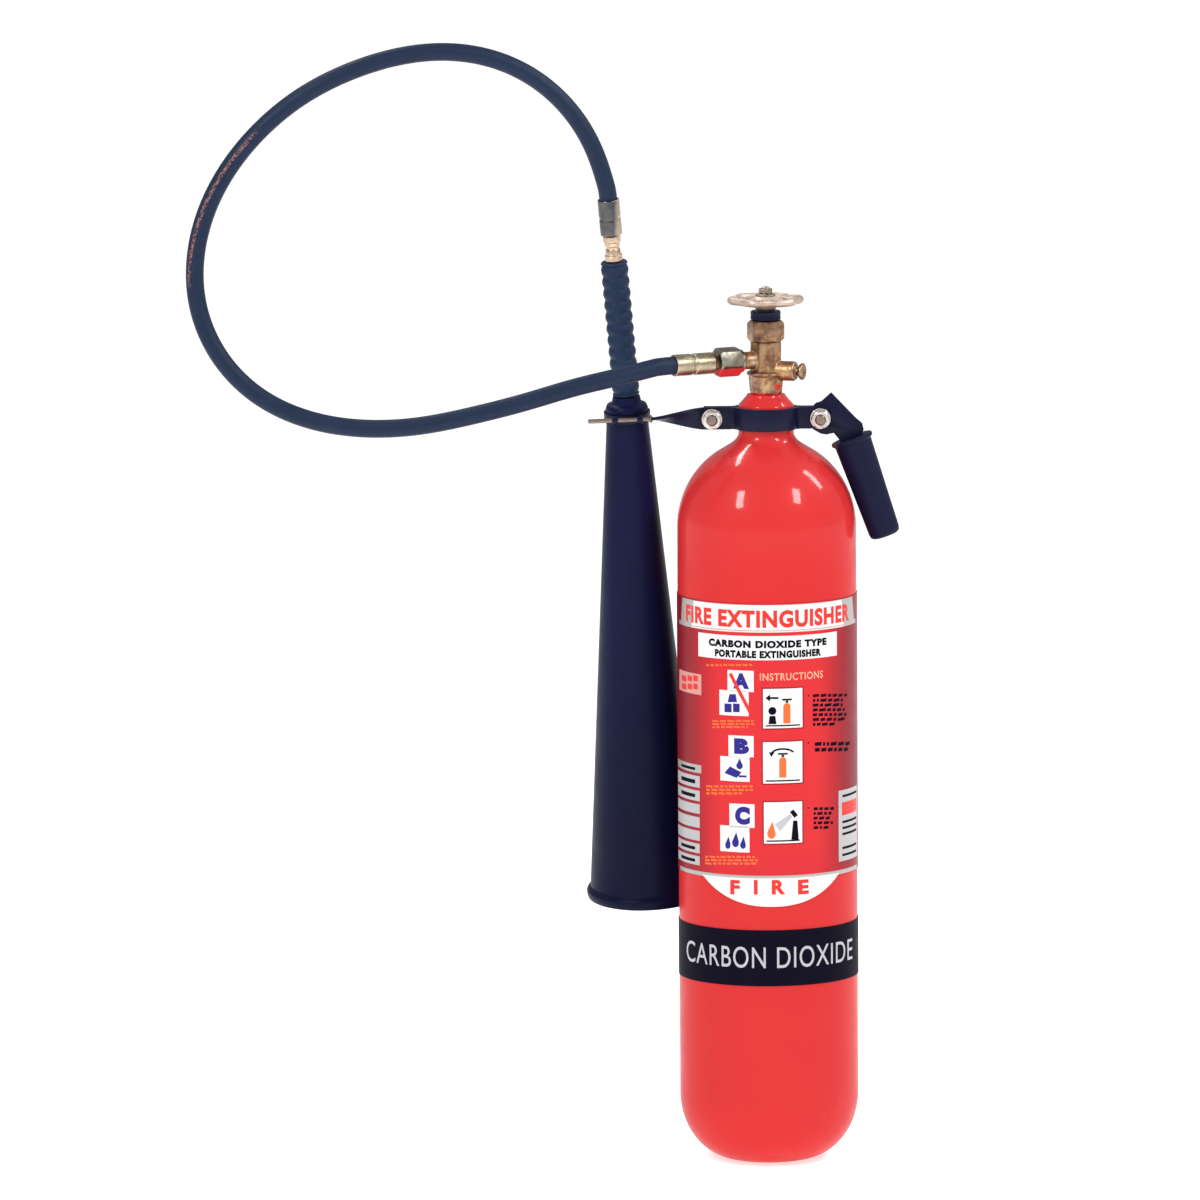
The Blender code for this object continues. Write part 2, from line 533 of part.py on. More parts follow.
# Hand-laid waypoints of the loop, (x, y, z), between the two ferrules.
HOSE_WAY = [
    HOSE_START, HOSE_START + OUTLET_DIR * 12.0, HOSE_START + OUTLET_DIR * 24.0 + Vector((0, 0, -0.8)),
    Vector((-112, -54, 623.5)), Vector((-147.5, -63, 617.0)), Vector((-186, -70, 606.0)), Vector((-227, -75, 596.5)),
    Vector((-268, -78, 588.5)), Vector((-310, -78, 586.5)), Vector((-352, -76, 592.5)), Vector((-393, -72, 610.5)),
    Vector((-424, -68, 641.5)), Vector((-441, -64, 681.5)), Vector((-442, -60, 722.0)), Vector((-432, -56, 758.5)),
    Vector((-414, -52, 790.5)), Vector((-390, -47, 818.0)), Vector((-359, -42, 842.5)), Vector((-321, -36, 861.0)),
    Vector((-282, -29, 872.0)), Vector((-244, -22, 874.5)), Vector((-205, -16, 866.5)), Vector((-170, -11, 846.5)),
    Vector((-143, -7, 816.5)), Vector((-128.0, -5.0, 785.0)),
    HOSE_END + GRIP_DIR * 14.0 + Vector((-0.4, 0.1, 0)), HOSE_END + GRIP_DIR * 7.0, HOSE_END]


def smooth_route(points, spacing):
    """Centripetal Catmull-Rom curve through the points, read at even steps."""
    pts = [points[0] * 2 - points[1]] + list(points) + [points[-1] * 2 - points[-2]]
    fine = []
    for p0, p1, p2, p3 in zip(pts, pts[1:], pts[2:], pts[3:]):
        t0 = 0.0
        t1 = t0 + (p1 - p0).length ** 0.5
        t2 = t1 + (p2 - p1).length ** 0.5
        t3 = t2 + (p3 - p2).length ** 0.5
        for i in range(20):
            t = t1 + (t2 - t1) * i / 20
            a1 = p0 * ((t1 - t) / (t1 - t0)) + p1 * ((t - t0) / (t1 - t0))
            a2 = p1 * ((t2 - t) / (t2 - t1)) + p2 * ((t - t1) / (t2 - t1))
            a3 = p2 * ((t3 - t) / (t3 - t2)) + p3 * ((t - t2) / (t3 - t2))
            b1 = a1 * ((t2 - t) / (t2 - t0)) + a2 * ((t - t0) / (t2 - t0))
            b2 = a2 * ((t3 - t) / (t3 - t1)) + a3 * ((t - t1) / (t3 - t1))
            fine.append(b1 * ((t2 - t) / (t2 - t1)) + b2 * ((t - t1) / (t2 - t1)))
    fine.append(points[-1].copy())
    total = [0.0]
    for a, b in zip(fine, fine[1:]):
        total.append(total[-1] + (b - a).length)
    count = max(2, round(total[-1] / spacing))
    out, j = [], 0
    for i in range(count + 1):
        want = total[-1] * i / count
        while j < len(total) - 2 and total[j + 1] < want:
            j += 1
        f = (want - total[j]) / (total[j + 1] - total[j])
        out.append(fine[j].lerp(fine[j + 1], f))
    return out


hose_curve = bpy.data.curves.new("hose", 'CURVE')
hose_curve.dimensions = '3D'
hose_curve.bevel_depth = HOSE_R * MM
hose_curve.bevel_resolution = 2
hose_curve.use_fill_caps = True
hose_curve.twist_mode = 'MINIMUM'
route = smooth_route(HOSE_WAY, 15.5)
hose_spline = hose_curve.splines.new('POLY')
hose_spline.points.add(len(route) - 1)
for point, co in zip(hose_spline.points, route):
    point.co = (co.x * MM, co.y * MM, co.z * MM, 1.0)
finish_object(bpy.data.objects.new("hose", hose_curve), "rubber")

# ---------------------------------------------------------------- carry handle
# A flat bar swings on the right-hand clamp bolt; its tang fills a flanged rubber grip.
ang = math.radians(HANDLE_DEG)
down = Vector((math.sin(ang), -math.cos(ang)))
across = Vector((math.cos(ang), math.sin(ang)))
flange = Vector(HANDLE_FLANGE)
tang_r0, tang_l0 = flange + across * 9.0 - down * 2.2, flange - across * 9.0 - down * 2.2
tang_r1, tang_l1 = flange + across * 9.0 + down * 70.0, flange - across * 9.0 + down * 70.0
bar_outline = [(0.9, 13.0), (-5.5, 9.5), (-8.8, 3.0), (-8.8, -4.0), (-4.5, -10.5), (4.8, -13.2), (10.3, -11.9),
               tuple(tang_l0), tuple(tang_l1), tuple(tang_r1), tuple(tang_r0), (33.9, -9.5), (32.6, -4.3),
               (27.5, 0.0), (8.6, 19.9)]
# The bar's own frame has its origin on the pivot, local X and Y along world X and Z.
BAR = Matrix.Translation((BOLT_X * MM, 0, BOLT_Z * MM)) @ Matrix.Rotation(math.pi / 2, 4, 'X')
handle_bar = plate("handle_bar", [bar_outline], STRAP_T, BAR, "black_enamel")
cut(handle_bar, prism("handle_bar_hole", 16, 4.3, 4.3, -12, 12, BOLT_AXIS["right"]))
HANDLE = frame_along((down.x, 0, down.y), (BOLT_X + flange.x, 0, BOLT_Z + flange.y))
handle_grip = turned("handle_grip", [(9.45, -1.5), (16.1, -1.5), (16.5, -1.1), (16.5, 1.1), (16.1, 1.5), (14.6, 1.9),
                                     (12.2, 77.4), (10.8, 80.0), (0, 80.0), (0, 76.0), (9.45, 76.0)],
                     24, HANDLE, "rubber")
hang_on(handle_axis, handle_bar, handle_grip)
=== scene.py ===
"""Looks for the carbon-dioxide fire extinguisher.  Metres, +Z up, -Y is the front.

Sizes in the tables are millimetres in the frame's own axes.
"""
import math
import random

import bmesh
import bpy
import numpy as np
from mathutils import Matrix, Vector, noise


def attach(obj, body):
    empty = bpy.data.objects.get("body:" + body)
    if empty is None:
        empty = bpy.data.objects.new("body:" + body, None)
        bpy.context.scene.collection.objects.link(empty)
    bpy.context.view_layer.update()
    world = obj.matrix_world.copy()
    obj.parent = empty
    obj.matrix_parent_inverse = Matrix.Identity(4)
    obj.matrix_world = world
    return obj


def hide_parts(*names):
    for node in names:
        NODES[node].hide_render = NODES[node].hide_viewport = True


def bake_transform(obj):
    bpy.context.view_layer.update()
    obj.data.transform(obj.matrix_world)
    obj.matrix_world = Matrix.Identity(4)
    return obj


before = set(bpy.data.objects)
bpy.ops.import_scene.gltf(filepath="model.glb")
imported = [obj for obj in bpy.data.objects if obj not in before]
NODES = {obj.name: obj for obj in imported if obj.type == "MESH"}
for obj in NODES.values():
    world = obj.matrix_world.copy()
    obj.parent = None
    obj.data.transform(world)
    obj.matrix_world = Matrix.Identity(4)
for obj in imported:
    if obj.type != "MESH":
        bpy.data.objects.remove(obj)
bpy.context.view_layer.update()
MM = 0.001
scene = bpy.context.scene
ROOT, WHEEL, HORN_BODY, HANDLE_BODY, PLUG_BODY = "cylinder", "handwheel", "horn", "carry_handle", "valve_plug"

# ---------------------------------------------------------------- sizes shared with the frame
CYL_R, CYL_WALL, FOOT_R, BASE_H = 69.8, 5.0, 26.0, 52.0
SHOULDER_Z, NECK_R, NECK_Z, NECK_TOP_Z, NECK_BORE_R = 499.0, 21.6, 594.0, 602.5, 11.9
LABEL_R, LABEL_T = 70.1, 0.25
BAND_Z = (146.0, 188.5)
OUTLET_Z, OUTLET_DEG, SAFETY_Z, SAFETY_DEG = 629.5, 27.0, 621.0, 20.0
BOLT_X, BOLT_Z, STRAP_T, STRAP_Z = 42.2, 583.4, 3.0, (575.4, 592.6)
HORN_TOP, HORN_MOUTH, HORN_LEN = Vector((-108.1, 20.6, 582.5)), Vector((-94.1, 71.6, 197.1)), 389.0
GRIP_FOOT = Vector((-108.7, 18.4, 599.3))
GRIP_DIR = Vector((-0.083, -0.1313, 0.9878)).normalized()
GRIP_LEN = 108.5
PIN_DIR, PIN_MID = Vector((-0.99945, 0.0, -0.0332)).normalized(), Vector((-108.1, 0.0, 582.5))
HOSE_R = 7.0
HANDLE_DEG, HANDLE_FLANGE = 19.0, (24.6, -17.1)
OUTLET_DIR = Vector((-math.cos(math.radians(OUTLET_DEG)), -math.sin(math.radians(OUTLET_DEG)), 0.0))
SAFETY_DIR = Vector((math.cos(math.radians(SAFETY_DEG)), -math.sin(math.radians(SAFETY_DEG)), 0.0))
HORN_UP = (HORN_TOP - HORN_MOUTH).normalized()


def frame_along(direction, origin):
    quat = Vector((0.0, 0.0, 1.0)).rotation_difference(Vector(direction).normalized())
    return Matrix.Translation(Vector(origin) * MM) @ quat.to_matrix().to_4x4()


UPRIGHT = Matrix.Identity(4)
OUTLET = frame_along(OUTLET_DIR, (0, 0, OUTLET_Z))
SAFETY = frame_along(SAFETY_DIR, (0, 0, SAFETY_Z))
HORN = frame_along(-HORN_UP, HORN_TOP)
GRIP = frame_along(GRIP_DIR, GRIP_FOOT)
PIN = frame_along(PIN_DIR, PIN_MID)

# ---------------------------------------------------------------- camera, as the view that is matched
MM_PX = 0.78
ELEV = math.radians(8.0)


def camera():
    target = Vector((-130.2, 0.0, 441.1)) * MM
    dist = 12.0
    data = bpy.data.cameras.new("camera")
    data.sensor_width = 36.0
    data.lens = 36.0 / (2 * (600 * MM_PX * MM) / dist)
    data.clip_end = 200.0
    cam = bpy.data.objects.new("camera", data)
    scene.collection.objects.link(cam)
    view = Vector((0.0, math.cos(ELEV), -math.sin(ELEV)))
    cam.location = target - view * dist
    cam.rotation_euler = (view.to_track_quat('-Z', 'Y').to_matrix().to_4x4()
                          @ Matrix.Rotation(math.radians(-0.358), 4, 'Z')).to_euler()
    scene.camera = cam


camera()

# ---------------------------------------------------------------- node helpers
SOFTEST = 0.5


class Nodes:
    """A small builder for one material's node tree."""

    def __init__(self, name):
        self.mat = bpy.data.materials.new(name)
        self.mat.use_nodes = True
        self.tree = self.mat.node_tree
        self.bsdf = self.tree.nodes["Principled BSDF"]
        self._coord = None

    def node(self, kind, **settings):
        made = self.tree.nodes.new(kind)
        for key, value in settings.items():
            setattr(made, key, value)
        return made

    def link(self, a, b):
        self.tree.links.new(a, b)

    def coord(self, scale=(1, 1, 1), turn=(0, 0, 0), kind="Object"):
        if self._coord is None:
            self._coord = self.node("ShaderNodeTexCoord")
        mapping = self.node("ShaderNodeMapping")
        mapping.inputs["Scale"].default_value = scale
        mapping.inputs["Rotation"].default_value = turn
        self.link(self._coord.outputs[kind], mapping.inputs["Vector"])
        return mapping.outputs["Vector"]

    def noise(self, scale, detail=3.0, rough=0.55, vector=None, distort=0.0):
        n = self.node("ShaderNodeTexNoise")
        n.inputs["Scale"].default_value = scale
        n.inputs["Detail"].default_value = detail
        n.inputs["Roughness"].default_value = rough
        n.inputs["Distortion"].default_value = distort
        self.link(vector or self.coord(), n.inputs["Vector"])
        return n.outputs["Fac"]

    def ramp(self, fac, stops):
        r = self.node("ShaderNodeValToRGB")
        ramp = r.color_ramp
        while len(ramp.elements) < len(stops):
            ramp.elements.new(0.5)
        for element, (pos, color) in zip(ramp.elements, stops):
            element.position = pos
            element.color = (*color, 1.0) if hasattr(color, "__len__") else (color, color, color, 1.0)
        self.link(fac, r.inputs["Fac"])
        return r.outputs["Color"]

    def mix(self, fac, a, b, blend="MIX"):
        m = self.node("ShaderNodeMix", data_type="RGBA", blend_type=blend)
        for value, socket in ((fac, m.inputs[0]), (a, m.inputs[6]), (b, m.inputs[7])):
            if hasattr(value, "is_output"):
                self.link(value, socket)
            elif hasattr(value, "__len__"):
                socket.default_value = (*value, 1.0)
            elif socket == m.inputs[0]:
                socket.default_value = value
            else:
                socket.default_value = (value, value, value, 1.0)
        return m.outputs[2]

    def math(self, op, a, b=0.0, clamp=False):
        m = self.node("ShaderNodeMath", operation=op, use_clamp=clamp)
        for value, socket in ((a, m.inputs[0]), (b, m.inputs[1])):
            if hasattr(value, "is_output"):
                self.link(value, socket)
            else:
                socket.default_value = value
        return m.outputs[0]

    def span(self, value, low, high, out_low=0.0, out_high=1.0):
        m = self.node("ShaderNodeMapRange", interpolation_type='SMOOTHSTEP')
        self.link(value, m.inputs["Value"])
        m.inputs["From Min"].default_value = low
        m.inputs["From Max"].default_value = high
        m.inputs["To Min"].default_value = out_low
        m.inputs["To Max"].default_value = out_high
        return m.outputs["Result"]

    def xyz(self, vector=None):
        s = self.node("ShaderNodeSeparateXYZ")
        self.link(vector or self.coord(), s.inputs[0])
        return s.outputs

    def bump(self, height, strength, distance=0.0005, after=None):
        b = self.node("ShaderNodeBump")
        b.inputs["Strength"].default_value = strength
        b.inputs["Distance"].default_value = distance
        self.link(height, b.inputs["Height"])
        if after is not None:
            self.link(after, b.inputs["Normal"])
        return b.outputs["Normal"]

    def set(self, **values):
        names = {"color": "Base Color", "rough": "Roughness", "metal": "Metallic", "spec": "Specular IOR Level",
                 "coat": "Coat Weight", "coat_rough": "Coat Roughness", "normal": "Normal", "sheen": "Sheen Weight",
                 "aniso": "Anisotropic"}
        for key, value in values.items():
            socket = self.bsdf.inputs[names[key]]
            if hasattr(value, "is_output"):
                self.link(value, socket)
            elif key == "color":
                socket.default_value = (*value, 1.0)
            else:
                socket.default_value = value
        return self.mat


# ---------------------------------------------------------------- materials
RED = (0.585, 0.026, 0.026)


def paint_mix(m, base_color, base_rough, base_metal, mask, coat=0.25):
    """Lay red enamel over a base where mask is 1."""
    tone = m.mix(m.noise(30, 3), tuple(c * 0.92 for c in RED), RED)
    m.set(color=m.mix(mask, base_color, tone),
          rough=m.mix(mask, base_rough, 0.34), metal=m.mix(mask, base_metal, 0.0),
          coat=m.math('MULTIPLY', mask, coat), coat_rough=0.12, spec=0.12)


def red_enamel():
    m = Nodes("red_enamel")
    broad = m.noise(9, 3, 0.6)
    tone = m.mix(broad, (0.550, 0.0235, 0.0250), (0.612, 0.0295, 0.0300))
    pos = m.xyz()
    # Handling dust and rub marks gather low on the wall.
    dust = m.math('MULTIPLY', m.span(m.noise(55, 6, 0.7), 0.56, 0.74), m.span(pos[2], 0.17, 0.01), True)
    tone = m.mix(m.math('MULTIPLY', dust, 0.30), tone, (0.45, 0.10, 0.07))
    specks = m.span(m.noise(420, 2, 0.5), 0.70, 0.76)
    tone = m.mix(m.math('MULTIPLY', specks, 0.25), tone, (0.50, 0.03, 0.02))
    rough = m.ramp(m.noise(70, 4, 0.6), [(0.30, 0.30), (0.75, 0.42)])
    peel = m.noise(520, 2, 0.5)
    slow = m.noise(60, 2, 0.5)
    normal = m.bump(slow, 0.05, 0.0006, after=m.bump(peel, 0.05, 0.0002))
    # The shoulder keeps its gloss; the wall under it is dulled by handling.
    coat = m.span(pos[2], 0.455, 0.530, 0.10, 0.42)
    return m.set(color=tone, rough=rough, spec=0.06, coat=coat, coat_rough=0.08, normal=normal)


def forged_brass(name="forged_brass", paint_below=None, dark=0.0):
    m = Nodes(name)
    patch = m.noise(110, 5, 0.65, distort=0.4)
    color = m.ramp(patch, [(0.26, (0.085, 0.048, 0.036)), (0.42, (0.24, 0.130, 0.075)),
                           (0.54, (0.42, 0.250, 0.120)), (0.66, (0.45, 0.315, 0.215)), (0.80, (0.66, 0.530, 0.380))])
    stain = m.span(m.noise(38, 4, 0.6), 0.50, 0.72)
    color = m.mix(m.math('MULTIPLY', stain, 0.45), color, (0.26, 0.125, 0.10))
    bloom = m.noise(62, 3, 0.6, vector=m.coord(turn=(0.4, 0.7, 0.2)))
    color = m.mix(m.math('MULTIPLY', m.span(bloom, 0.50, 0.36), 0.50), color, (0.19, 0.135, 0.155))
    color = m.mix(m.math('MULTIPLY', m.span(bloom, 0.53, 0.68), 0.55), color, (0.78, 0.46, 0.22))
    if dark:
        color = m.mix(dark, color, (0.10, 0.06, 0.035))
    rough = m.ramp(patch, [(0.25, 0.58), (0.75, 0.33)])
    normal = m.bump(m.noise(900, 4, 0.65), 0.22, 0.00025, after=m.bump(m.noise(160, 3), 0.20, 0.0006))
    if paint_below is None:
        m.set(color=color, rough=rough, metal=1.0, normal=normal)
        return m.mat
    height = m.math('ADD', m.xyz()[2], m.math('MULTIPLY', m.noise(210, 5, 0.7), -0.0085))
    mask = m.span(height, paint_below + 0.0004, paint_below - 0.0004)
    # One stray splash of paint on the front of the hexagon.
    away = m.math('SQRT', m.math('ADD', m.math('POWER', m.math('ABSOLUTE', m.math('SUBTRACT', m.xyz()[0], 0.0092)), 2.0),
                                 m.math('POWER', m.math('ABSOLUTE', m.math('SUBTRACT', m.xyz()[2], 0.6086)), 2.0)))
    away = m.math('ADD', away, m.math('MULTIPLY', m.noise(520, 5, 0.7), 0.0044))
    splash = m.math('MULTIPLY', m.span(away, 0.0052, 0.0044), m.span(m.xyz()[1], -0.002, -0.005))
    mask = m.math('MAXIMUM', mask, splash)
    paint_mix(m, color, rough, 1.0, mask)
    m.set(normal=normal)
    return m.mat


def zinc_plate(name="zinc_plate", tint=(0.56, 0.46, 0.31), shade=(0.16, 0.15, 0.12), red_below_z=None, sheen_from_x=None):
    m = Nodes(name)
    patch = m.noise(75, 5, 0.62, distort=0.3)
    color = m.ramp(patch, [(0.28, shade), (0.50, tuple((a + b) / 2 for a, b in zip(tint, shade))), (0.72, tint)])
    color = m.mix(m.math('MULTIPLY', m.span(m.noise(300, 3), 0.62, 0.75), 0.4), color, (0.30, 0.22, 0.14))
    if sheen_from_x is not None:
        # Painted reflection: the side that faces away from the loop is lightened to a pale tan.
        sheen_x = m.math('ADD', m.xyz()[0], m.math('MULTIPLY', m.noise(190, 3), 0.0030))
        color = m.mix(m.span(sheen_x, sheen_from_x, sheen_from_x + 0.0045), color, (0.46, 0.37, 0.30))
    rough = m.ramp(m.noise(240, 4), [(0.3, 0.26), (0.75, 0.46)])
    normal = m.bump(m.noise(1500, 3), 0.10, 0.0001)
    if red_below_z is None:
        m.set(color=color, rough=rough, metal=1.0, normal=normal)
        return m.mat
    # Below the given height the plating is coloured with the red enamel look.
    height = m.math('ADD', m.xyz()[2], m.math('MULTIPLY', m.noise(260, 4, 0.6), -0.0028))
    mask = m.span(height, red_below_z + 0.0002, red_below_z - 0.0002)
    paint_mix(m, color, rough, 1.0, mask)
    m.set(normal=normal)
    return m.mat


def cast_aluminium():
    m = Nodes("cast_aluminium")
    patch = m.noise(70, 4, 0.55)
    color = m.ramp(patch, [(0.25, (0.36, 0.27, 0.21)), (0.48, (0.58, 0.46, 0.38)), (0.75, (0.80, 0.67, 0.57))])
    # Painted shade: the wheel is darkened on its underside and round the hub.
    underside_shade = m.span(m.math('ADD', m.xyz()[2], m.math('MULTIPLY', m.noise(160, 4, 0.6), 0.0034)), 0.6786, 0.6752)
    color = m.mix(m.math('MULTIPLY', underside_shade, 0.78), color, (0.19, 0.130, 0.095))
    rough = m.ramp(m.noise(300, 4), [(0.3, 0.42), (0.75, 0.60)])
    normal = m.bump(m.noise(1300, 4, 0.7), 0.35, 0.00022)
    return m.set(color=color, rough=rough, metal=0.75, normal=normal)


def bare_steel(name="bare_steel", tint=(0.60, 0.58, 0.56), rust=0.25):
    m = Nodes(name)
    color = m.mix(m.noise(160, 4), tuple(c * 0.75 for c in tint), tint)
    spot = m.math('MULTIPLY', m.span(m.noise(420, 6, 0.7), 0.50, 0.66), rust)
    color = m.mix(spot, color, (0.20, 0.085, 0.040))
    rough = m.ramp(m.noise(500, 3), [(0.3, 0.32), (0.8, 0.52)])
    return m.set(color=color, rough=rough, metal=m.math('SUBTRACT', 1.0, m.math('MULTIPLY', spot, 0.8)),
                 normal=m.bump(m.noise(1800, 3), 0.12, 0.0001))


def black_enamel():
    m = Nodes("black_enamel")
    tone = m.mix(m.noise(60, 3), (0.0034, 0.0042, 0.022), (0.0072, 0.0082, 0.033))
    chip = m.span(m.noise(380, 6, 0.75), 0.725, 0.745)
    tone = m.mix(m.math('MULTIPLY', chip, 0.6), tone, (0.16, 0.13, 0.11))
    rough = m.ramp(m.noise(140, 4), [(0.3, 0.30), (0.8, 0.44)])
    normal = m.bump(m.noise(700, 3), 0.10, 0.0002)
    return m.set(color=tone, rough=rough, spec=0.14, coat=0.05, coat_rough=0.25, normal=normal)


def horn_plastic():
    m = Nodes("horn_plastic")
    streak = m.noise(14, 4, 0.6, vector=m.coord(scale=(1.0, 1.0, 0.18)))
    tone = m.mix(streak, (0.0030, 0.0052, 0.030), (0.0060, 0.0088, 0.042))
    # Painted shade: the horn is darkened towards its mouth.
    tone = m.mix(m.math('MULTIPLY', m.span(m.xyz()[2], 0.44, 0.24), 0.55), tone, (0.0022, 0.0020, 0.0125))
    scuff = m.span(m.noise(260, 6, 0.75, vector=m.coord(scale=(1.0, 1.0, 0.30))), 0.66, 0.74)
    tone = m.mix(m.math('MULTIPLY', scuff, 0.25), tone, (0.045, 0.048, 0.060))
    rough = m.ramp(m.noise(60, 4), [(0.3, 0.36), (0.8, 0.48)])
    normal = m.bump(m.noise(1400, 2, 0.5), 0.10, 0.00015, after=m.bump(m.noise(35, 2), 0.05, 0.0012))
    return m.set(color=tone, rough=rough, spec=0.085, normal=normal)


def rubber(name="grip_rubber", base=(0.0040, 0.0125, 0.0400), high=(0.0105, 0.0260, 0.0660), spec=0.20, scar=None):
    m = Nodes(name)
    tone = m.mix(m.noise(85, 4), base, high)
    dust = m.span(m.noise(330, 5, 0.7), 0.62, 0.76)
    tone = m.mix(m.math('MULTIPLY', dust, 0.25), tone, (0.050, 0.052, 0.060))
    if scar is not None:
        # Scuffed and rust-stained where the edge knocks against things.
        pos = m.xyz()
        away = m.math('SQRT', m.math('ADD', m.math('POWER', m.math('ABSOLUTE', m.math('SUBTRACT', pos[0], scar[0])), 2.0),
                                     m.math('POWER', m.math('ABSOLUTE', m.math('SUBTRACT', pos[2], scar[1])), 2.0)))
        away = m.math('ADD', away, m.math('MULTIPLY', m.noise(420, 5, 0.7), 0.0060))
        tone = m.mix(m.math('MULTIPLY', m.span(away, 0.0088, 0.0052), 0.60), tone, (0.120, 0.062, 0.042))
    rough = m.ramp(m.noise(180, 4), [(0.3, 0.50), (0.8, 0.66)])
    normal = m.bump(m.noise(1100, 3, 0.6), 0.25, 0.00020)
    return m.set(color=tone, rough=rough, spec=spec, normal=normal)


def hose_rubber():
    """Wrapped-cover hose: the cloth that it was cured in leaves a fine crossed weave on the rubber."""
    m = Nodes("hose_rubber")
    uv = m.coord(kind="UV")
    length, around = m.xyz(uv)[0:2]
    # u runs in metres along the hose, and v once round it.
    lean_a = m.math('SINE', m.math('MULTIPLY', m.math('ADD', m.math('MULTIPLY', length, 560.0),
                                                      m.math('MULTIPLY', around, 34.0)), 6.28318))
    lean_b = m.math('SINE', m.math('MULTIPLY', m.math('SUBTRACT', m.math('MULTIPLY', length, 560.0),
                                                      m.math('MULTIPLY', around, 34.0)), 6.28318))
    weave = m.math('MULTIPLY', lean_a, lean_b)
    lap = m.math('SINE', m.math('MULTIPLY', m.math('ADD', m.math('MULTIPLY', length, 26.0), around), 6.28318))
    lap = m.span(lap, 0.93, 1.0)
    tone = m.mix(m.noise(40, 4), (0.0045, 0.0130, 0.0360), (0.0095, 0.0210, 0.0540))
    scuff = m.span(m.noise(300, 6, 0.72), 0.64, 0.76)
    tone = m.mix(m.math('MULTIPLY', scuff, 0.30), tone, (0.050, 0.055, 0.070))
    # Worn remains of a printed line on the outer side of the loop, too far gone to read.
    line = m.math('SUBTRACT', around, m.math('ADD', m.math('MULTIPLY', length, 0.73), -0.286))
    inside = m.math('MULTIPLY', m.span(m.math('ABSOLUTE', line), 0.040, 0.028),
                    m.math('MULTIPLY', m.span(length, 0.440, 0.450), m.span(length, 0.578, 0.568)))
    broken = m.span(m.noise(520, 3, 0.6, vector=m.coord(scale=(1.0, 0.044, 1.0), kind="UV")), 0.47, 0.56)
    tone = m.mix(m.math('MULTIPLY', m.math('MULTIPLY', inside, broken), 0.62), tone, (0.42, 0.165, 0.110))
    rough = m.ramp(m.noise(120, 4), [(0.3, 0.46), (0.8, 0.60)])
    normal = m.bump(weave, 0.12, 0.00010, after=m.bump(lap, 0.25, 0.00025))
    return m.set(color=tone, rough=rough, spec=0.20, normal=normal)


def film(name, color, rough=0.38, metal=0.0, vary=0.10, spec=0.18):
    """Printed film: near-flat ink with faint mottling and a little gloss."""
    m = Nodes(name)
    tone = m.mix(m.noise(45, 4), tuple(c * (1 - vary) for c in color), color)
    grain = m.span(m.noise(700, 2), 0.60, 0.72)
    tone = m.mix(m.math('MULTIPLY', grain, 0.12), tone, tuple(c * 0.7 for c in color))
    return m.set(color=tone, rough=m.ramp(m.noise(90, 3), [(0.3, rough - 0.05), (0.8, rough + 0.06)]), metal=metal,
                 spec=spec, coat=spec * 0.3, coat_rough=0.2, normal=m.bump(m.noise(260, 2), 0.03, 0.0002))


def label_film():
    """Crimson label, with painted shade darkening it towards its two sides, and darker near its foot."""
    m = Nodes("label_film")
    pos = m.xyz()
    side = m.math('ABSOLUTE', m.math('DIVIDE', pos[0], 0.0704))
    # Painted shade: the label darkens towards its two sides as seen from the front.
    edge = m.span(side, 0.50, 0.97)
    low = m.span(pos[2], 0.257, 0.232)
    tone = m.mix(m.noise(35, 4), (0.580, 0.0245, 0.0300), (0.640, 0.0295, 0.0350))
    tone = m.mix(m.math('MULTIPLY', edge, 0.87), tone, (0.145, 0.005, 0.015))
    tone = m.mix(m.math('MULTIPLY', low, 0.18), tone, (0.40, 0.020, 0.030))
    grain = m.span(m.noise(800, 2), 0.58, 0.72)
    tone = m.mix(m.math('MULTIPLY', grain, 0.10), tone, (0.45, 0.03, 0.03))
    return m.set(color=tone, rough=m.ramp(m.noise(90, 3), [(0.3, 0.34), (0.8, 0.44)]), spec=0.10, coat=0.04,
                 coat_rough=0.18, normal=m.bump(m.noise(200, 2), 0.04, 0.0003))


def fibre():
    m = Nodes("fibre")
    color = m.mix(m.noise(500, 4), (0.36, 0.30, 0.22), (0.62, 0.55, 0.44))
    return m.set(color=color, rough=0.85, normal=m.bump(m.noise(1500, 4), 0.4, 0.0002))


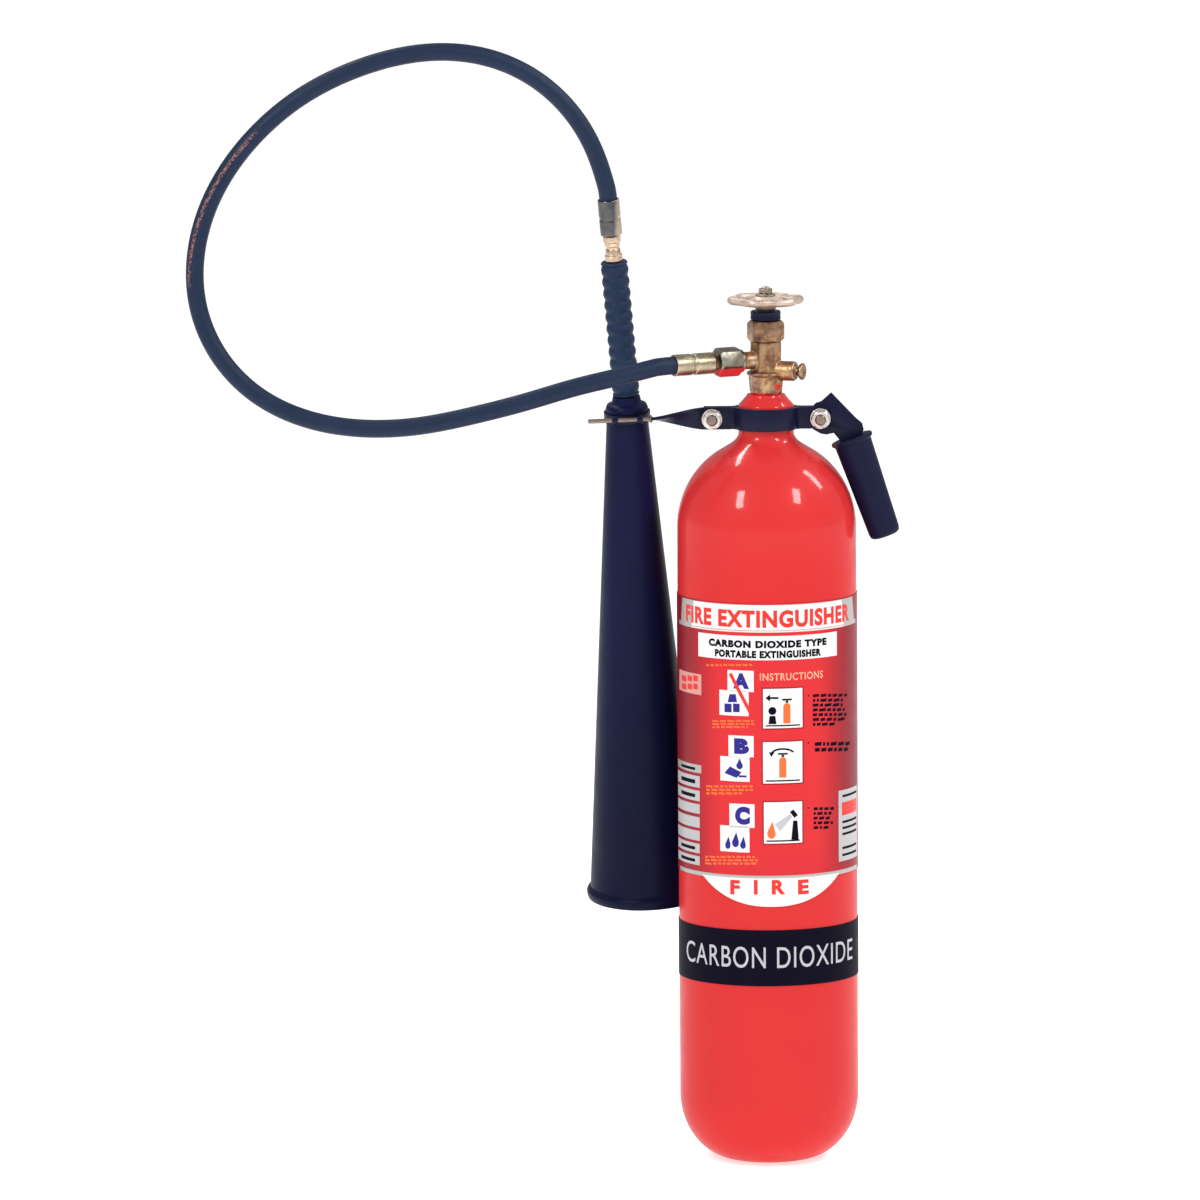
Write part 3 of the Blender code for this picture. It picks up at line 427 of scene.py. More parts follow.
M = {
    "red": red_enamel(), "brass": forged_brass(), "brass_base": forged_brass("forged_brass_base", paint_below=0.5998),
    "brass_nut": forged_brass("machined_brass", dark=0.12), "zinc": zinc_plate(),
    "zinc_nut": zinc_plate("zinc_nut", tint=(0.36, 0.31, 0.24), shade=(0.08, 0.09, 0.08), red_below_z=0.6236),
    "zinc_grey": zinc_plate("zinc_grey", tint=(0.165, 0.150, 0.140), shade=(0.035, 0.048, 0.062), sheen_from_x=-0.1165),
    "pale_nut": zinc_plate("pale_nut", tint=(0.90, 0.82, 0.77), shade=(0.44, 0.40, 0.38)),
    "cap_nut": zinc_plate("cap_nut", tint=(0.50, 0.42, 0.33), shade=(0.24, 0.20, 0.155)),
    "pale_brass": zinc_plate("pale_brass", tint=(0.78, 0.60, 0.44), shade=(0.36, 0.22, 0.15)),
    "wheel": cast_aluminium(), "steel": bare_steel(), "rusty": bare_steel("rusty_steel", (0.30, 0.245, 0.215), 0.60),
    "band_steel": bare_steel("band_steel", (0.20, 0.19, 0.20), 0.55), "enamel": black_enamel(),
    "plastic": horn_plastic(), "grip": rubber(),
    "handle": rubber("handle_rubber", (0.0028, 0.0040, 0.0230), (0.0062, 0.0078, 0.0350), 0.14, (0.0512, 0.5615)),
    "hose": hose_rubber(), "label": label_film(), "white": film("white_ink", (0.76, 0.75, 0.74)),
    "ash": film("ash_ink", (0.46, 0.45, 0.46)), "silver": film("silver_ink", (0.42, 0.41, 0.39), 0.34, 0.30), "black": film("black_ink", (0.0048, 0.0040, 0.0120), 0.50, spec=0.022),
    "blue": film("blue_ink", (0.020, 0.014, 0.22)), "red_ink": film("red_ink", (0.72, 0.030, 0.022)),
    "orange": film("orange_ink", (0.80, 0.15, 0.035)), "grey": film("grey_ink", (0.47, 0.47, 0.51)),
    "cream": film("cream_ink", (0.90, 0.74, 0.50)), "pink": film("pink_ink", (0.62, 0.29, 0.26)), "salmon": film("salmon_ink", (0.84, 0.36, 0.24)),
    "maroon": film("maroon_ink", (0.28, 0.012, 0.020)), "fibre": fibre(),
}


# ---------------------------------------------------------------- mesh helpers
def link(obj):
    scene.collection.objects.link(obj)
    return obj


def finish(obj, look, body, *nodes, sharp=38.0):
    """Material, shading, the body it rides on and the CAD nodes it stands for."""
    if obj.name not in scene.collection.objects:
        link(obj)
    obj.data.materials.clear()
    obj.data.materials.append(M[look])
    if obj.type == 'MESH':
        obj.data.shade_smooth()
        obj.data.set_sharp_from_angle(angle=math.radians(sharp))
    if body:
        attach(obj, body)
    if nodes:
        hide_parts(*nodes)
    return obj


def rounded(profile, default=0.0, count=3):
    """Round the corners of a closed outline; a point may carry its own radius as a third number."""
    pts = [(p[0], p[1], p[2] if len(p) > 2 else default) for p in profile]
    out = []
    for i, (x, y, rad) in enumerate(pts):
        v = Vector((x, y))
        if rad <= 0 or x < 1e-6:
            out.append((x, y))
            continue
        a = Vector(pts[i - 1][:2]) - v
        b = Vector(pts[(i + 1) % len(pts)][:2]) - v
        if a.length < 1e-6 or b.length < 1e-6:
            out.append((x, y))
            continue
        angle = a.angle(b)
        if angle > math.radians(172):
            out.append((x, y))
            continue
        d = min(rad / math.tan(angle / 2), a.length * 0.46, b.length * 0.46)
        p0, p2 = v + a.normalized() * d, v + b.normalized() * d
        for k in range(count + 1):
            t = k / count
            q = p0 * (1 - t) ** 2 + v * 2 * t * (1 - t) + p2 * t * t
            out.append((q.x, q.y))
    return out


def lathe(name, profile, steps=64, place=UPRIGHT, radius=0.0, count=3, wobble=None):
    """Turn a closed (radius, height) outline about local Z into one closed mesh."""
    pts = rounded(profile, radius, count)
    area = sum(a[0] * b[1] - b[0] * a[1] for a, b in zip(pts, pts[1:] + pts[:1]))
    if area < 0:
        pts.reverse()
    verts, rings = [], []
    for r, z in pts:
        if r < 1e-6:
            rings.append([len(verts)] * steps)
            verts.append((0.0, 0.0, z * MM))
        else:
            ring = []
            for k in range(steps):
                a = 2 * math.pi * k / steps
                rr = wobble(r, z, a) if wobble else r
                ring.append(len(verts))
                verts.append((rr * MM * math.cos(a), rr * MM * math.sin(a), z * MM))
            rings.append(ring)
    faces = []
    for i in range(len(rings)):
        lo, hi = rings[i], rings[(i + 1) % len(rings)]
        if lo[0] == lo[1 % steps] and hi[0] == hi[1 % steps]:
            continue
        for k in range(steps):
            n = (k + 1) % steps
            quad = []
            for v in (lo[k], lo[n], hi[n], hi[k]):
                if v not in quad:
                    quad.append(v)
            faces.append(quad)
    mesh = bpy.data.meshes.new(name)
    mesh.from_pydata(verts, [], faces)
    mesh.transform(place)
    mesh.update()
    return bpy.data.objects.new(name, mesh)


def prism(name, sides, r1, r2, z1, z2, place=UPRIGHT, turn_deg=0.0, flats=False):
    scale = 1.0 / math.cos(math.pi / sides) if flats else 1.0
    mesh = bpy.data.meshes.new(name)
    bm = bmesh.new()
    bmesh.ops.create_cone(bm, cap_ends=True, cap_tris=False, segments=sides, radius1=r1 * scale * MM,
                          radius2=r2 * scale * MM, depth=(z2 - z1) * MM,
                          matrix=place @ Matrix.Translation((0, 0, (z1 + z2) / 2 * MM))
                          @ Matrix.Rotation(math.radians(turn_deg), 4, 'Z'))
    bm.to_mesh(mesh)
    bm.free()
    return bpy.data.objects.new(name, mesh)


def box(name, size, center, place=UPRIGHT):
    mesh = bpy.data.meshes.new(name)
    bm = bmesh.new()
    bmesh.ops.create_cube(bm, size=1.0, matrix=place @ Matrix.Translation(Vector(center) * MM)
                          @ Matrix.Diagonal((size[0] * MM, size[1] * MM, size[2] * MM, 1.0)))
    bm.to_mesh(mesh)
    bm.free()
    return bpy.data.objects.new(name, mesh)


def applied(obj):
    """Replace the object's mesh with its evaluated one and drop the modifiers."""
    if obj.name not in scene.collection.objects:
        link(obj)
    bpy.context.view_layer.update()
    graph = bpy.context.evaluated_depsgraph_get()
    mesh = bpy.data.meshes.new_from_object(obj.evaluated_get(graph))
    old = obj.data
    obj.modifiers.clear()
    obj.data = mesh
    if old.users == 0:
        bpy.data.meshes.remove(old)
    return obj


def combine(obj, others, how):
    """Boolean with several solids, then drop them."""
    if obj.name not in scene.collection.objects:
        link(obj)
    for other in others:
        if other.name not in scene.collection.objects:
            link(other)
        mod = obj.modifiers.new(how.lower(), 'BOOLEAN')
        mod.operation, mod.object, mod.solver = how, other, 'EXACT'
    applied(obj)
    for other in others:
        bpy.data.objects.remove(other, do_unlink=True)
    return obj


def bevelled(obj, width, segments=2, angle=30.0):
    mod = obj.modifiers.new("edges", 'BEVEL')
    mod.width, mod.segments, mod.limit_method = width * MM, segments, 'ANGLE'
    mod.angle_limit = math.radians(angle)
    mod.use_clamp_overlap = True
    return applied(obj)


def cast_soft(obj, voxel, smooth=4, factor=0.5):
    """Voxel remesh and relax, so that joined shapes flow together as in a casting."""
    mod = obj.modifiers.new("remesh", 'REMESH')
    mod.mode, mod.voxel_size, mod.adaptivity = 'VOXEL', voxel * MM, 0.0
    soft = obj.modifiers.new("relax", 'SMOOTH')
    soft.factor, soft.iterations = factor, smooth
    return applied(obj)


def arc(cx, cy, radius, a0, a1, count):
    return [(cx + radius * math.cos(math.radians(a0 + (a1 - a0) * i / count)),
             cy + radius * math.sin(math.radians(a0 + (a1 - a0) * i / count))) for i in range(count + 1)]


def plate(name, outline, thickness, place):
    """Extrude a closed outline by a thickness about its own plane."""
    mesh = bpy.data.meshes.new(name)
    bm = bmesh.new()
    verts = [bm.verts.new((x * MM, y * MM, -thickness / 2 * MM)) for x, y in outline]
    face = bm.faces.new(verts)
    made = bmesh.ops.extrude_face_region(bm, geom=[face])
    bmesh.ops.translate(bm, verts=[v for v in made["geom"] if isinstance(v, bmesh.types.BMVert)],
                        vec=(0, 0, thickness * MM))
    bmesh.ops.recalc_face_normals(bm, faces=bm.faces)
    bm.transform(place)
    bm.to_mesh(mesh)
    bm.free()
    return bpy.data.objects.new(name, mesh)


def hexagon(name, across, z1, z2, bore, place, turn_deg=0.0, chamfer=0.6, edge=0.25):
    """Nut or collar: a hexagon whose ends are turned to a chamfer, with its bore."""
    corner = across / 2 / math.cos(math.pi / 6)
    depth = (corner - across / 2) * chamfer + 0.15
    nut = prism(name, 6, across / 2, across / 2, z1, z2, place, turn_deg, flats=True)
    flat = across / 2 * 0.965
    outer = [(flat, z1 - 0.01), (corner + 0.6, z1 + depth + 0.35), (corner + 0.6, z2 - depth - 0.35), (flat, z2 + 0.01)]
    inner = [(p[0], p[1]) for p in bore]
    inner[0] = (inner[0][0], z1 - 0.01)
    inner[-1] = (inner[-1][0], z2 + 0.01)
    shaper = lathe(name + "_shaper", outer + inner[::-1], 72, place)
    combine(nut, [shaper], 'INTERSECT')
    return bevelled(nut, edge, 2, 24.0)


# ---------------------------------------------------------------- hose, first, because its route is fixed
HOSE_START = Vector((0, 0, OUTLET_Z)) + OUTLET_DIR * 75.5
HOSE_END = GRIP_FOOT + GRIP_DIR * 153.0
HOSE_WAY = [
    HOSE_START, HOSE_START + OUTLET_DIR * 12.0, HOSE_START + OUTLET_DIR * 24.0 + Vector((0, 0, -0.8)),
    Vector((-112, -54, 623.5)), Vector((-147.5, -63, 617.0)), Vector((-186, -70, 606.0)), Vector((-227, -75, 596.5)),
    Vector((-268, -78, 588.5)), Vector((-310, -78, 586.5)), Vector((-352, -76, 592.5)), Vector((-393, -72, 610.5)),
    Vector((-424, -68, 641.5)), Vector((-441, -64, 681.5)), Vector((-442, -60, 722.0)), Vector((-432, -56, 758.5)),
    Vector((-414, -52, 790.5)), Vector((-390, -47, 818.0)), Vector((-359, -42, 842.5)), Vector((-321, -36, 861.0)),
    Vector((-282, -29, 872.0)), Vector((-244, -22, 874.5)), Vector((-205, -16, 866.5)), Vector((-170, -11, 846.5)),
    Vector((-143, -7, 816.5)), Vector((-128.0, -5.0, 785.0)),
    HOSE_END + GRIP_DIR * 14.0 + Vector((-0.4, 0.1, 0)), HOSE_END + GRIP_DIR * 7.0, HOSE_END]


def smooth_route(points, spacing):
    pts = [points[0] * 2 - points[1]] + list(points) + [points[-1] * 2 - points[-2]]
    fine = []
    for p0, p1, p2, p3 in zip(pts, pts[1:], pts[2:], pts[3:]):
        t0 = 0.0
        t1 = t0 + (p1 - p0).length ** 0.5
        t2 = t1 + (p2 - p1).length ** 0.5
        t3 = t2 + (p3 - p2).length ** 0.5
        for i in range(20):
            t = t1 + (t2 - t1) * i / 20
            a1 = p0 * ((t1 - t) / (t1 - t0)) + p1 * ((t - t0) / (t1 - t0))
            a2 = p1 * ((t2 - t) / (t2 - t1)) + p2 * ((t - t1) / (t2 - t1))
            a3 = p2 * ((t3 - t) / (t3 - t2)) + p3 * ((t - t2) / (t3 - t2))
            b1 = a1 * ((t2 - t) / (t2 - t0)) + a2 * ((t - t0) / (t2 - t0))
            b2 = a2 * ((t3 - t) / (t3 - t1)) + a3 * ((t - t1) / (t3 - t1))
            fine.append(b1 * ((t2 - t) / (t2 - t1)) + b2 * ((t - t1) / (t2 - t1)))
    fine.append(points[-1].copy())
    total = [0.0]
    for a, b in zip(fine, fine[1:]):
        total.append(total[-1] + (b - a).length)
    count = max(2, round(total[-1] / spacing))
    out, j = [], 0
    for i in range(count + 1):
        want = total[-1] * i / count
        while j < len(total) - 2 and total[j + 1] < want:
            j += 1
        f = (want - total[j]) / (total[j + 1] - total[j])
        out.append(fine[j].lerp(fine[j + 1], f))
    return out


def relax(points, rounds):
    """Ease kinks out of a dense route, keeping a straight run at each end."""
    pts = [p.copy() for p in points]
    for _ in range(rounds):
        new = [p.copy() for p in pts]
        for i in range(8, len(pts) - 6):
            new[i] = pts[i] * 0.5 + (pts[i - 1] + pts[i + 1]) * 0.25
        pts = new
    return pts


def hose():
    route = relax(smooth_route(HOSE_WAY, 3.0), 60)
    sides = 28
    verts, faces, uvs = [], [], []
    tangents = [(route[min(i + 1, len(route) - 1)] - route[max(i - 1, 0)]).normalized() for i in range(len(route))]
    normal = tangents[0].orthogonal().normalized()
    run = 0.0
    runs = []
    for i, (p, t) in enumerate(zip(route, tangents)):
        if i:
            run += (p - route[i - 1]).length
            normal = (normal - t * normal.dot(t)).normalized()
        runs.append(run)
        side = t.cross(normal)
        for k in range(sides):
            a = 2 * math.pi * k / sides
            verts.append((p + (normal * math.cos(a) + side * math.sin(a)) * HOSE_R) * MM)
    for i in range(len(route) - 1):
        for k in range(sides):
            n = (k + 1) % sides
            faces.append((i * sides + k, i * sides + n, (i + 1) * sides + n, (i + 1) * sides + k))
            uvs.append(((runs[i] * MM, k / sides), (runs[i] * MM, (k + 1) / sides),
                        (runs[i + 1] * MM, (k + 1) / sides), (runs[i + 1] * MM, k / sides)))
    faces.append(tuple(range(sides - 1, -1, -1)))
    uvs.append(tuple((0.0, k / sides) for k in range(sides - 1, -1, -1)))
    last = (len(route) - 1) * sides
    faces.append(tuple(last + k for k in range(sides)))
    uvs.append(tuple((runs[-1] * MM, k / sides) for k in range(sides)))
    mesh = bpy.data.meshes.new("hose_tube")
    mesh.from_pydata(verts, [], faces)
    layer = mesh.uv_layers.new(name="UVMap")
    flat = [c for face in uvs for uv in face for c in uv]
    layer.data.foreach_set("uv", flat)
    mesh.update()
    obj = link(bpy.data.objects.new("hose_tube", mesh))
    finish(obj, "hose", None, "hose", sharp=50)
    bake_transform(obj)
    print("HOSE_LENGTH_MM", round(runs[-1], 1))


hose()


# ---------------------------------------------------------------- cylinder
def shell_profile():
    outer = [(0.0, 0.0), (FOOT_R, 0.0, 1.2)]
    for i in range(1, 25):
        t = i / 24 * math.pi / 2
        outer.append((FOOT_R + (CYL_R - FOOT_R) * math.sin(t), BASE_H * (1 - math.cos(t))))
    for z in (90, 140, 200, 260, 320, 380, 440, 475):
        outer.append((CYL_R, z))
    for i in range(25):
        t = math.radians(50.0 * i / 24)
        outer.append((CYL_R * math.cos(t), SHOULDER_Z + CYL_R * math.sin(t)))
    r0, z0 = outer[-1][:2]
    slope = math.radians(50.0)
    for i in range(1, 13):
        t = i / 12
        h0 = Vector((r0, z0))
        h1 = h0 + Vector((-math.sin(slope), math.cos(slope))) * 15.0
        h3 = Vector((NECK_R, 573.0))
        h2 = h3 + Vector((0.0, -9.0))
        p = h0 * (1 - t) ** 3 + h1 * 3 * t * (1 - t) ** 2 + h2 * 3 * t * t * (1 - t) + h3 * t ** 3
        outer.append((p.x, p.y))
    outer += [(NECK_R, NECK_Z, 2.5), (15.6, 600.8, 1.5), (14.8, NECK_TOP_Z, 0.5)]
    ri = CYL_R - CYL_WALL
    inner = [(NECK_BORE_R, NECK_TOP_Z, 0.4), (NECK_BORE_R, 571.0, 1.5), (18.0, 562.0), (34.0, 548.0)]
    inner += [(ri * math.cos(t), SHOULDER_Z + ri * math.sin(t))
              for t in (math.radians(50.0 * (5 - i) / 5) for i in range(1, 6))]
    inner += [(22.0 + (ri - 22.0) * math.sin(t), 6.5 + (BASE_H - 6.5) * (1 - math.cos(t)))
              for t in ((7 - i) / 7 * math.pi / 2 for i in range(8))]
    inner.append((0.0, 6.5))
    return outer + inner


finish(lathe("cylinder_body", shell_profile(), 192), "red", ROOT, "cylinder_shell")

# ---------------------------------------------------------------- valve
body = lathe("valve_forging", [(0, 575), (11.5, 575), (11.5, 606), (0, 606)], 64)
combine(body, [
    prism("t1", 6, 13.2, 14.6, 603.7, 618.5, turn_deg=12.0),
    lathe("t2", [(0, 616.9), (13.6, 616.9), (15.0, 617.9), (15.0, 619.5), (13.4, 620.6), (0, 620.6)], 64),
    prism("t3", 8, 11.9, 11.9, 616.0, 643.5, turn_deg=22.5, flats=True),
    lathe("t4", [(0, 640), (10.9, 640), (10.9, 650), (0, 650)], 64),
    lathe("t5", [(0, 4), (6.9, 4), (6.9, 20.3), (7.5, 21.3), (7.5, 31.0), (7.0, 31.5), (0, 31.5)], 48, OUTLET),
    lathe("t6", [(0, 4), (7.7, 4), (7.7, 23.6), (6.9, 24.8), (0, 24.8)], 48, SAFETY),
], 'UNION')
combine(body, [
    lathe("c1", [(0, 652), (8.5, 652), (8.5, 626), (6, 626), (6, 627.5), (3, 627.5), (3, 590), (5.6, 590), (5.6, 573),
                 (0, 573)], 48),
    lathe("c2", [(0, 7), (2.8, 7), (2.8, 33), (0, 33)], 24, OUTLET),
    lathe("c3", [(0, 1.5), (1.8, 1.5), (1.8, 18), (5.0, 18), (5.0, 26), (0, 26)], 24, SAFETY),
], 'DIFFERENCE')
cast_soft(body, 0.42, 5, 0.55)
finish(body, "brass_base", ROOT, "valve_body", sharp=60)

finish(hexagon("bonnet", 25.5, 643.8, 660.0,
               [(11.2, 643.8), (11.2, 650.3), (8.4, 650.3), (8.4, 651.7), (4.7, 651.7), (4.7, 654.0), (7.3, 654.0),
                (7.3, 660.0)], UPRIGHT, turn_deg=20.0, chamfer=1.25, edge=0.5), "brass_nut", ROOT, "bonnet_nut")


def knurl(r, z, a):
    return r + (0.22 * math.cos(36 * a) if r > 11.2 and 661.6 < z < 666.6 else 0.0)


finish(lathe("gland", [(4.7, 657.8), (7.0, 657.8, 0.2), (7.0, 660.3), (10.8, 660.3, 0.3), (11.7, 661.2, 0.4),
                       (11.6, 661.8), (11.35, 664.0), (11.6, 666.4), (11.8, 667.0, 0.4), (10.9, 667.8, 0.3),
                       (4.7, 667.8, 0.3)], 144, radius=0.0, wobble=knurl), "enamel", ROOT, "gland_nut", sharp=60)


def wheel_piece():
    """Six-lobed cast wheel: rolled rim, dished web with six windows, hub."""
    profile = [(0, 668.5, 0), (7.4, 668.5, 0.5), (8.1, 669.4, 0.5), (8.6, 671.4, 2.0), (12, 672.3, 3.0),
               (22.0, 672.6, 2.0), (24.6, 672.7, 1.2), (28.2, 673.3, 2.4), (30.0, 676.0, 2.6), (28.4, 678.8, 2.2),
               (25.6, 678.9, 1.8), (23.4, 676.0, 2.0), (15.0, 675.5, 2.5), (11.6, 677.2, 2.0), (8.8, 679.1, 0.8),
               (7.2, 679.5, 0.5), (0, 679.5, 0)]

    def lobes(r, z, a):
        share = min(1.0, max(0.0, (r - 17.0) / 11.0))
        return r + share * 1.65 * math.cos(6 * a) - 0.95 * share

    wheel = lathe("wheel_casting", profile, 144, Matrix.Rotation(math.radians(10.0), 4, 'Z'), count=4, wobble=lobes)
    cuts = [box("square", (7.6, 7.6, 20), (0, 0, 674))]
    for i in range(6):
        a = 2 * math.pi * (i + 0.5) / 6 + math.radians(10)
        cuts.append(prism("w%d" % i, 40, 4.3, 4.3, 668, 684,
                          Matrix.Translation((15.6 * math.cos(a) * MM, 15.6 * math.sin(a) * MM, 0))))
    combine(wheel, cuts, 'DIFFERENCE')
    return cast_soft(wheel, 0.42, 6, 0.55)


finish(wheel_piece(), "wheel", WHEEL, "handwheel", sharp=60)
finish(lathe("wheel_washer", [(3.4, 679.8), (8.0, 679.8, 0.2), (7.6, 680.3, 0.3), (6.0, 681.0, 0.3), (3.4, 681.0)], 64), "cap_nut", WHEEL,
       "handwheel_washer")
finish(hexagon("wheel_nut", 10.0, 681.15, 685.2, [(3.35, 681.15), (3.35, 685.2)], UPRIGHT, turn_deg=8.0, chamfer=1.6), "cap_nut", WHEEL,
       "handwheel_nut")


def threaded(r, z1, z2, pitch, depth):
    """Outline points of a run of thread crests up a shaft."""
    pts, z = [], z1
    while z < z2 - pitch:
        pts += [(r, z), (r, z + pitch * 0.15), (r - depth, z + pitch * 0.55), (r, z + pitch * 0.95)]
        z += pitch
    return pts


stem = lathe("stem", [(0, 644), (4.3, 644), (4.3, 645.5), (8.0, 645.5, 0.3), (8.0, 649.6, 0.3), (4.3, 649.6),
                      (4.3, 668.0, 0.2), (3.0, 668.3), (3.0, 680.6)] + threaded(3.0, 680.9, 686.0, 1.0, 0.35)
             + [(3.0, 685.9, 0.3), (2.3, 686.5, 0.2), (0, 686.5)], 48)
combine(stem, [bevelled(box("sq", (7, 7, 11.2), (0, 0, 668.1 + 5.6)), 0.4, 2),
               box("tang", (3.0, 12.5, 9.0), (0, 0, 637.2 + 4.5))], 'UNION')
finish(stem, "steel", WHEEL, "spindle")

cap = lathe("relief_cap", [(1.6, 19.85), (4.6, 19.85), (4.6, 24.6, 0.2), (3.5, 25.3, 0.5), (3.5, 27.0, 0.6),
                           (5.4, 28.0, 0.6), (6.6, 29.6, 0.5), (6.6, 30.7, 0.4), (5.7, 31.5, 0.4), (2.2, 31.5, 0.3),
                           (1.9, 30.7, 0.2), (0, 30.7), (0, 29.6), (1.6, 29.6)], 64, SAFETY)
combine(cap, [prism("v", 20, 0.8, 0.8, -8, 8, SAFETY @ Matrix.Translation((0, 0, 26.1 * MM))
                    @ Matrix.Rotation(math.pi / 2, 4, 'X'))], 'DIFFERENCE')
finish(cap, "brass_nut", ROOT, "safety_cap")

# ---------------------------------------------------------------- hose fittings
swivel = hexagon("swivel", 20.3, 24.2, 43.6, [(7.9, 24.2), (7.9, 36.1), (5.6, 36.1), (5.6, 43.6)], OUTLET, turn_deg=15.0,
                 chamfer=1.0, edge=0.4)
combine(swivel, [lathe("shoulder", [(7.9, 21.7), (9.1, 21.7, 0.3), (9.1, 25.6), (7.9, 25.6)], 72, OUTLET)], 'UNION')
finish(swivel, "zinc_nut", ROOT, "swivel_nut")


def ferrule_profile(start, end, groove, mouth, depth=0.75):
    low = 8.5 - depth
    crimp = [(8.5, groove - 2.6, 0.4), (low, groove - 1.7, 0.3), (low, groove + 0.1, 0.3), (8.5, groove + 1.0, 0.4)]
    return ([(3.8, start), (7.7, start, 0.3), (8.5, start + 0.9, 0.4)] + crimp
            + [(8.5, end - 0.5, 0.3), (8.2, end, 0.2), (7.35, end, 0.1), (7.35, mouth), (3.8, mouth)])


finish(lathe("ferrule_valve", ferrule_profile(46.9, 81.0, 65.6, 75.0), 72, OUTLET), "zinc", ROOT, "hose_ferrule_valve")
finish(lathe("ferrule_horn", ferrule_profile(129.8, 158.5, 144.4, 152.5, 0.30), 72, GRIP), "zinc_grey", HORN_BODY,
       "hose_ferrule_horn")
finish(lathe("hose_tail", [(2.2, 33.4), (7.2, 33.4, 0.2), (7.2, 35.7, 0.2), (5.2, 35.7), (5.2, 46.6, 0.2), (3.4, 46.6),
                           (3.4, 74.7), (2.2, 74.7)], 48, OUTLET), "brass", ROOT, "hose_tail_valve")
finish(lathe("horn_adapter", [(5.3, 108.9), (6.3, 108.9, 0.3), (6.9, 109.6, 0.3), (6.9, 113.8, 0.4), (5.9, 114.5, 0.4),
                              (5.8, 118.0), (5.2, 119.2, 0.4), (5.2, 120.6, 0.4), (5.9, 121.6, 0.3), (6.1, 124.0, 0.3),
                              (6.8, 124.8, 0.4), (6.8, 128.9, 0.4), (6.2, 129.5, 0.2), (3.4, 129.5), (3.4, 152.2),
                              (2.2, 152.2), (2.2, 116.4), (5.3, 116.4)], 56, GRIP), "pale_brass", HORN_BODY,
       "hose_tail_horn")


# ---------------------------------------------------------------- neck clamp, arm and pin
def clamp_outline(sign):
    r_in, r_out, near, far, end, fillet = 21.9, 24.9, 1.8, 4.8, 48.6, 5.0
    a_in = math.degrees(math.asin(near / r_in))
    fx = math.sqrt((r_out + fillet) ** 2 - (far + fillet) ** 2)
    a_out = math.degrees(math.atan2(far + fillet, fx))
    pts = [(end, near)]
    pts += arc(0, 0, r_in, a_in, 180 - a_in, 48)
    pts += [(-end, near), (-end, far)]
    pts += arc(-fx, far + fillet, fillet, -90, -a_out, 8)
    pts += arc(0, 0, r_out, 180 - a_out, a_out, 48)[1:-1]
    pts += arc(fx, far + fillet, fillet, 180 + a_out, 270, 8)
    pts += [(end, far)]
    return [(x, sign * y) for x, y in pts]


BOLT = {"left": frame_along((0, -1, 0), (-BOLT_X, 0, BOLT_Z)), "right": frame_along((0, -1, 0), (BOLT_X, 0, BOLT_Z))}
CLAMP_MID = Matrix.Translation((0, 0, sum(STRAP_Z) / 2 * MM))
for name, sign in (("clamp_front", -1), ("clamp_back", 1)):
    strap = plate(name + "_strap", clamp_outline(sign), STRAP_Z[1] - STRAP_Z[0], CLAMP_MID)
    combine(strap, [prism("h_" + side, 40, 4.3, 4.3, -12, 12, BOLT[side]) for side in BOLT], 'DIFFERENCE')
    bevelled(strap, 0.45, 3, 35.0)
    finish(strap, "enamel", ROOT, name)

for i, (side, place) in enumerate(BOLT.items()):
    bolt = prism("bolt_" + side, 6, 6.5, 6.5, -10.4, -5.1, place, flats=True)
    shaper = lathe("bs", [(0, -10.41), (6.2, -10.41), (7.7, -9.3), (7.7, -5.0), (0, -5.0)], 60, place)
    combine(bolt, [shaper], 'INTERSECT')
    bevelled(bolt, 0.2, 2, 24.0)
    shank = lathe("sk", [(0, -8), (3.9, -8), (3.9, 5.0)] + threaded(3.9, 5.2, 14.4, 1.25, 0.5)
                  + [(3.9, 14.3, 0.2), (3.2, 15.0, 0.3), (0, 15.0)], 40, place)
    combine(bolt, [shank], 'UNION')
    finish(bolt, "rusty", ROOT, "clamp_bolt_" + side)
    finish(lathe("washer_" + side, [(4.3, 5.1), (8.0, 5.1), (8.0, 6.5), (4.3, 6.5)], 56, place, radius=0.3),
           "pale_nut", ROOT, "clamp_washer_" + side)
    finish(hexagon("nut_" + side, 13.0, 6.8, 13.3, [(4.2, 6.8), (4.2, 13.3)], place, turn_deg=(10.0, 25.0)[i],
                   chamfer=0.9), "pale_nut", ROOT, "clamp_nut_" + side)


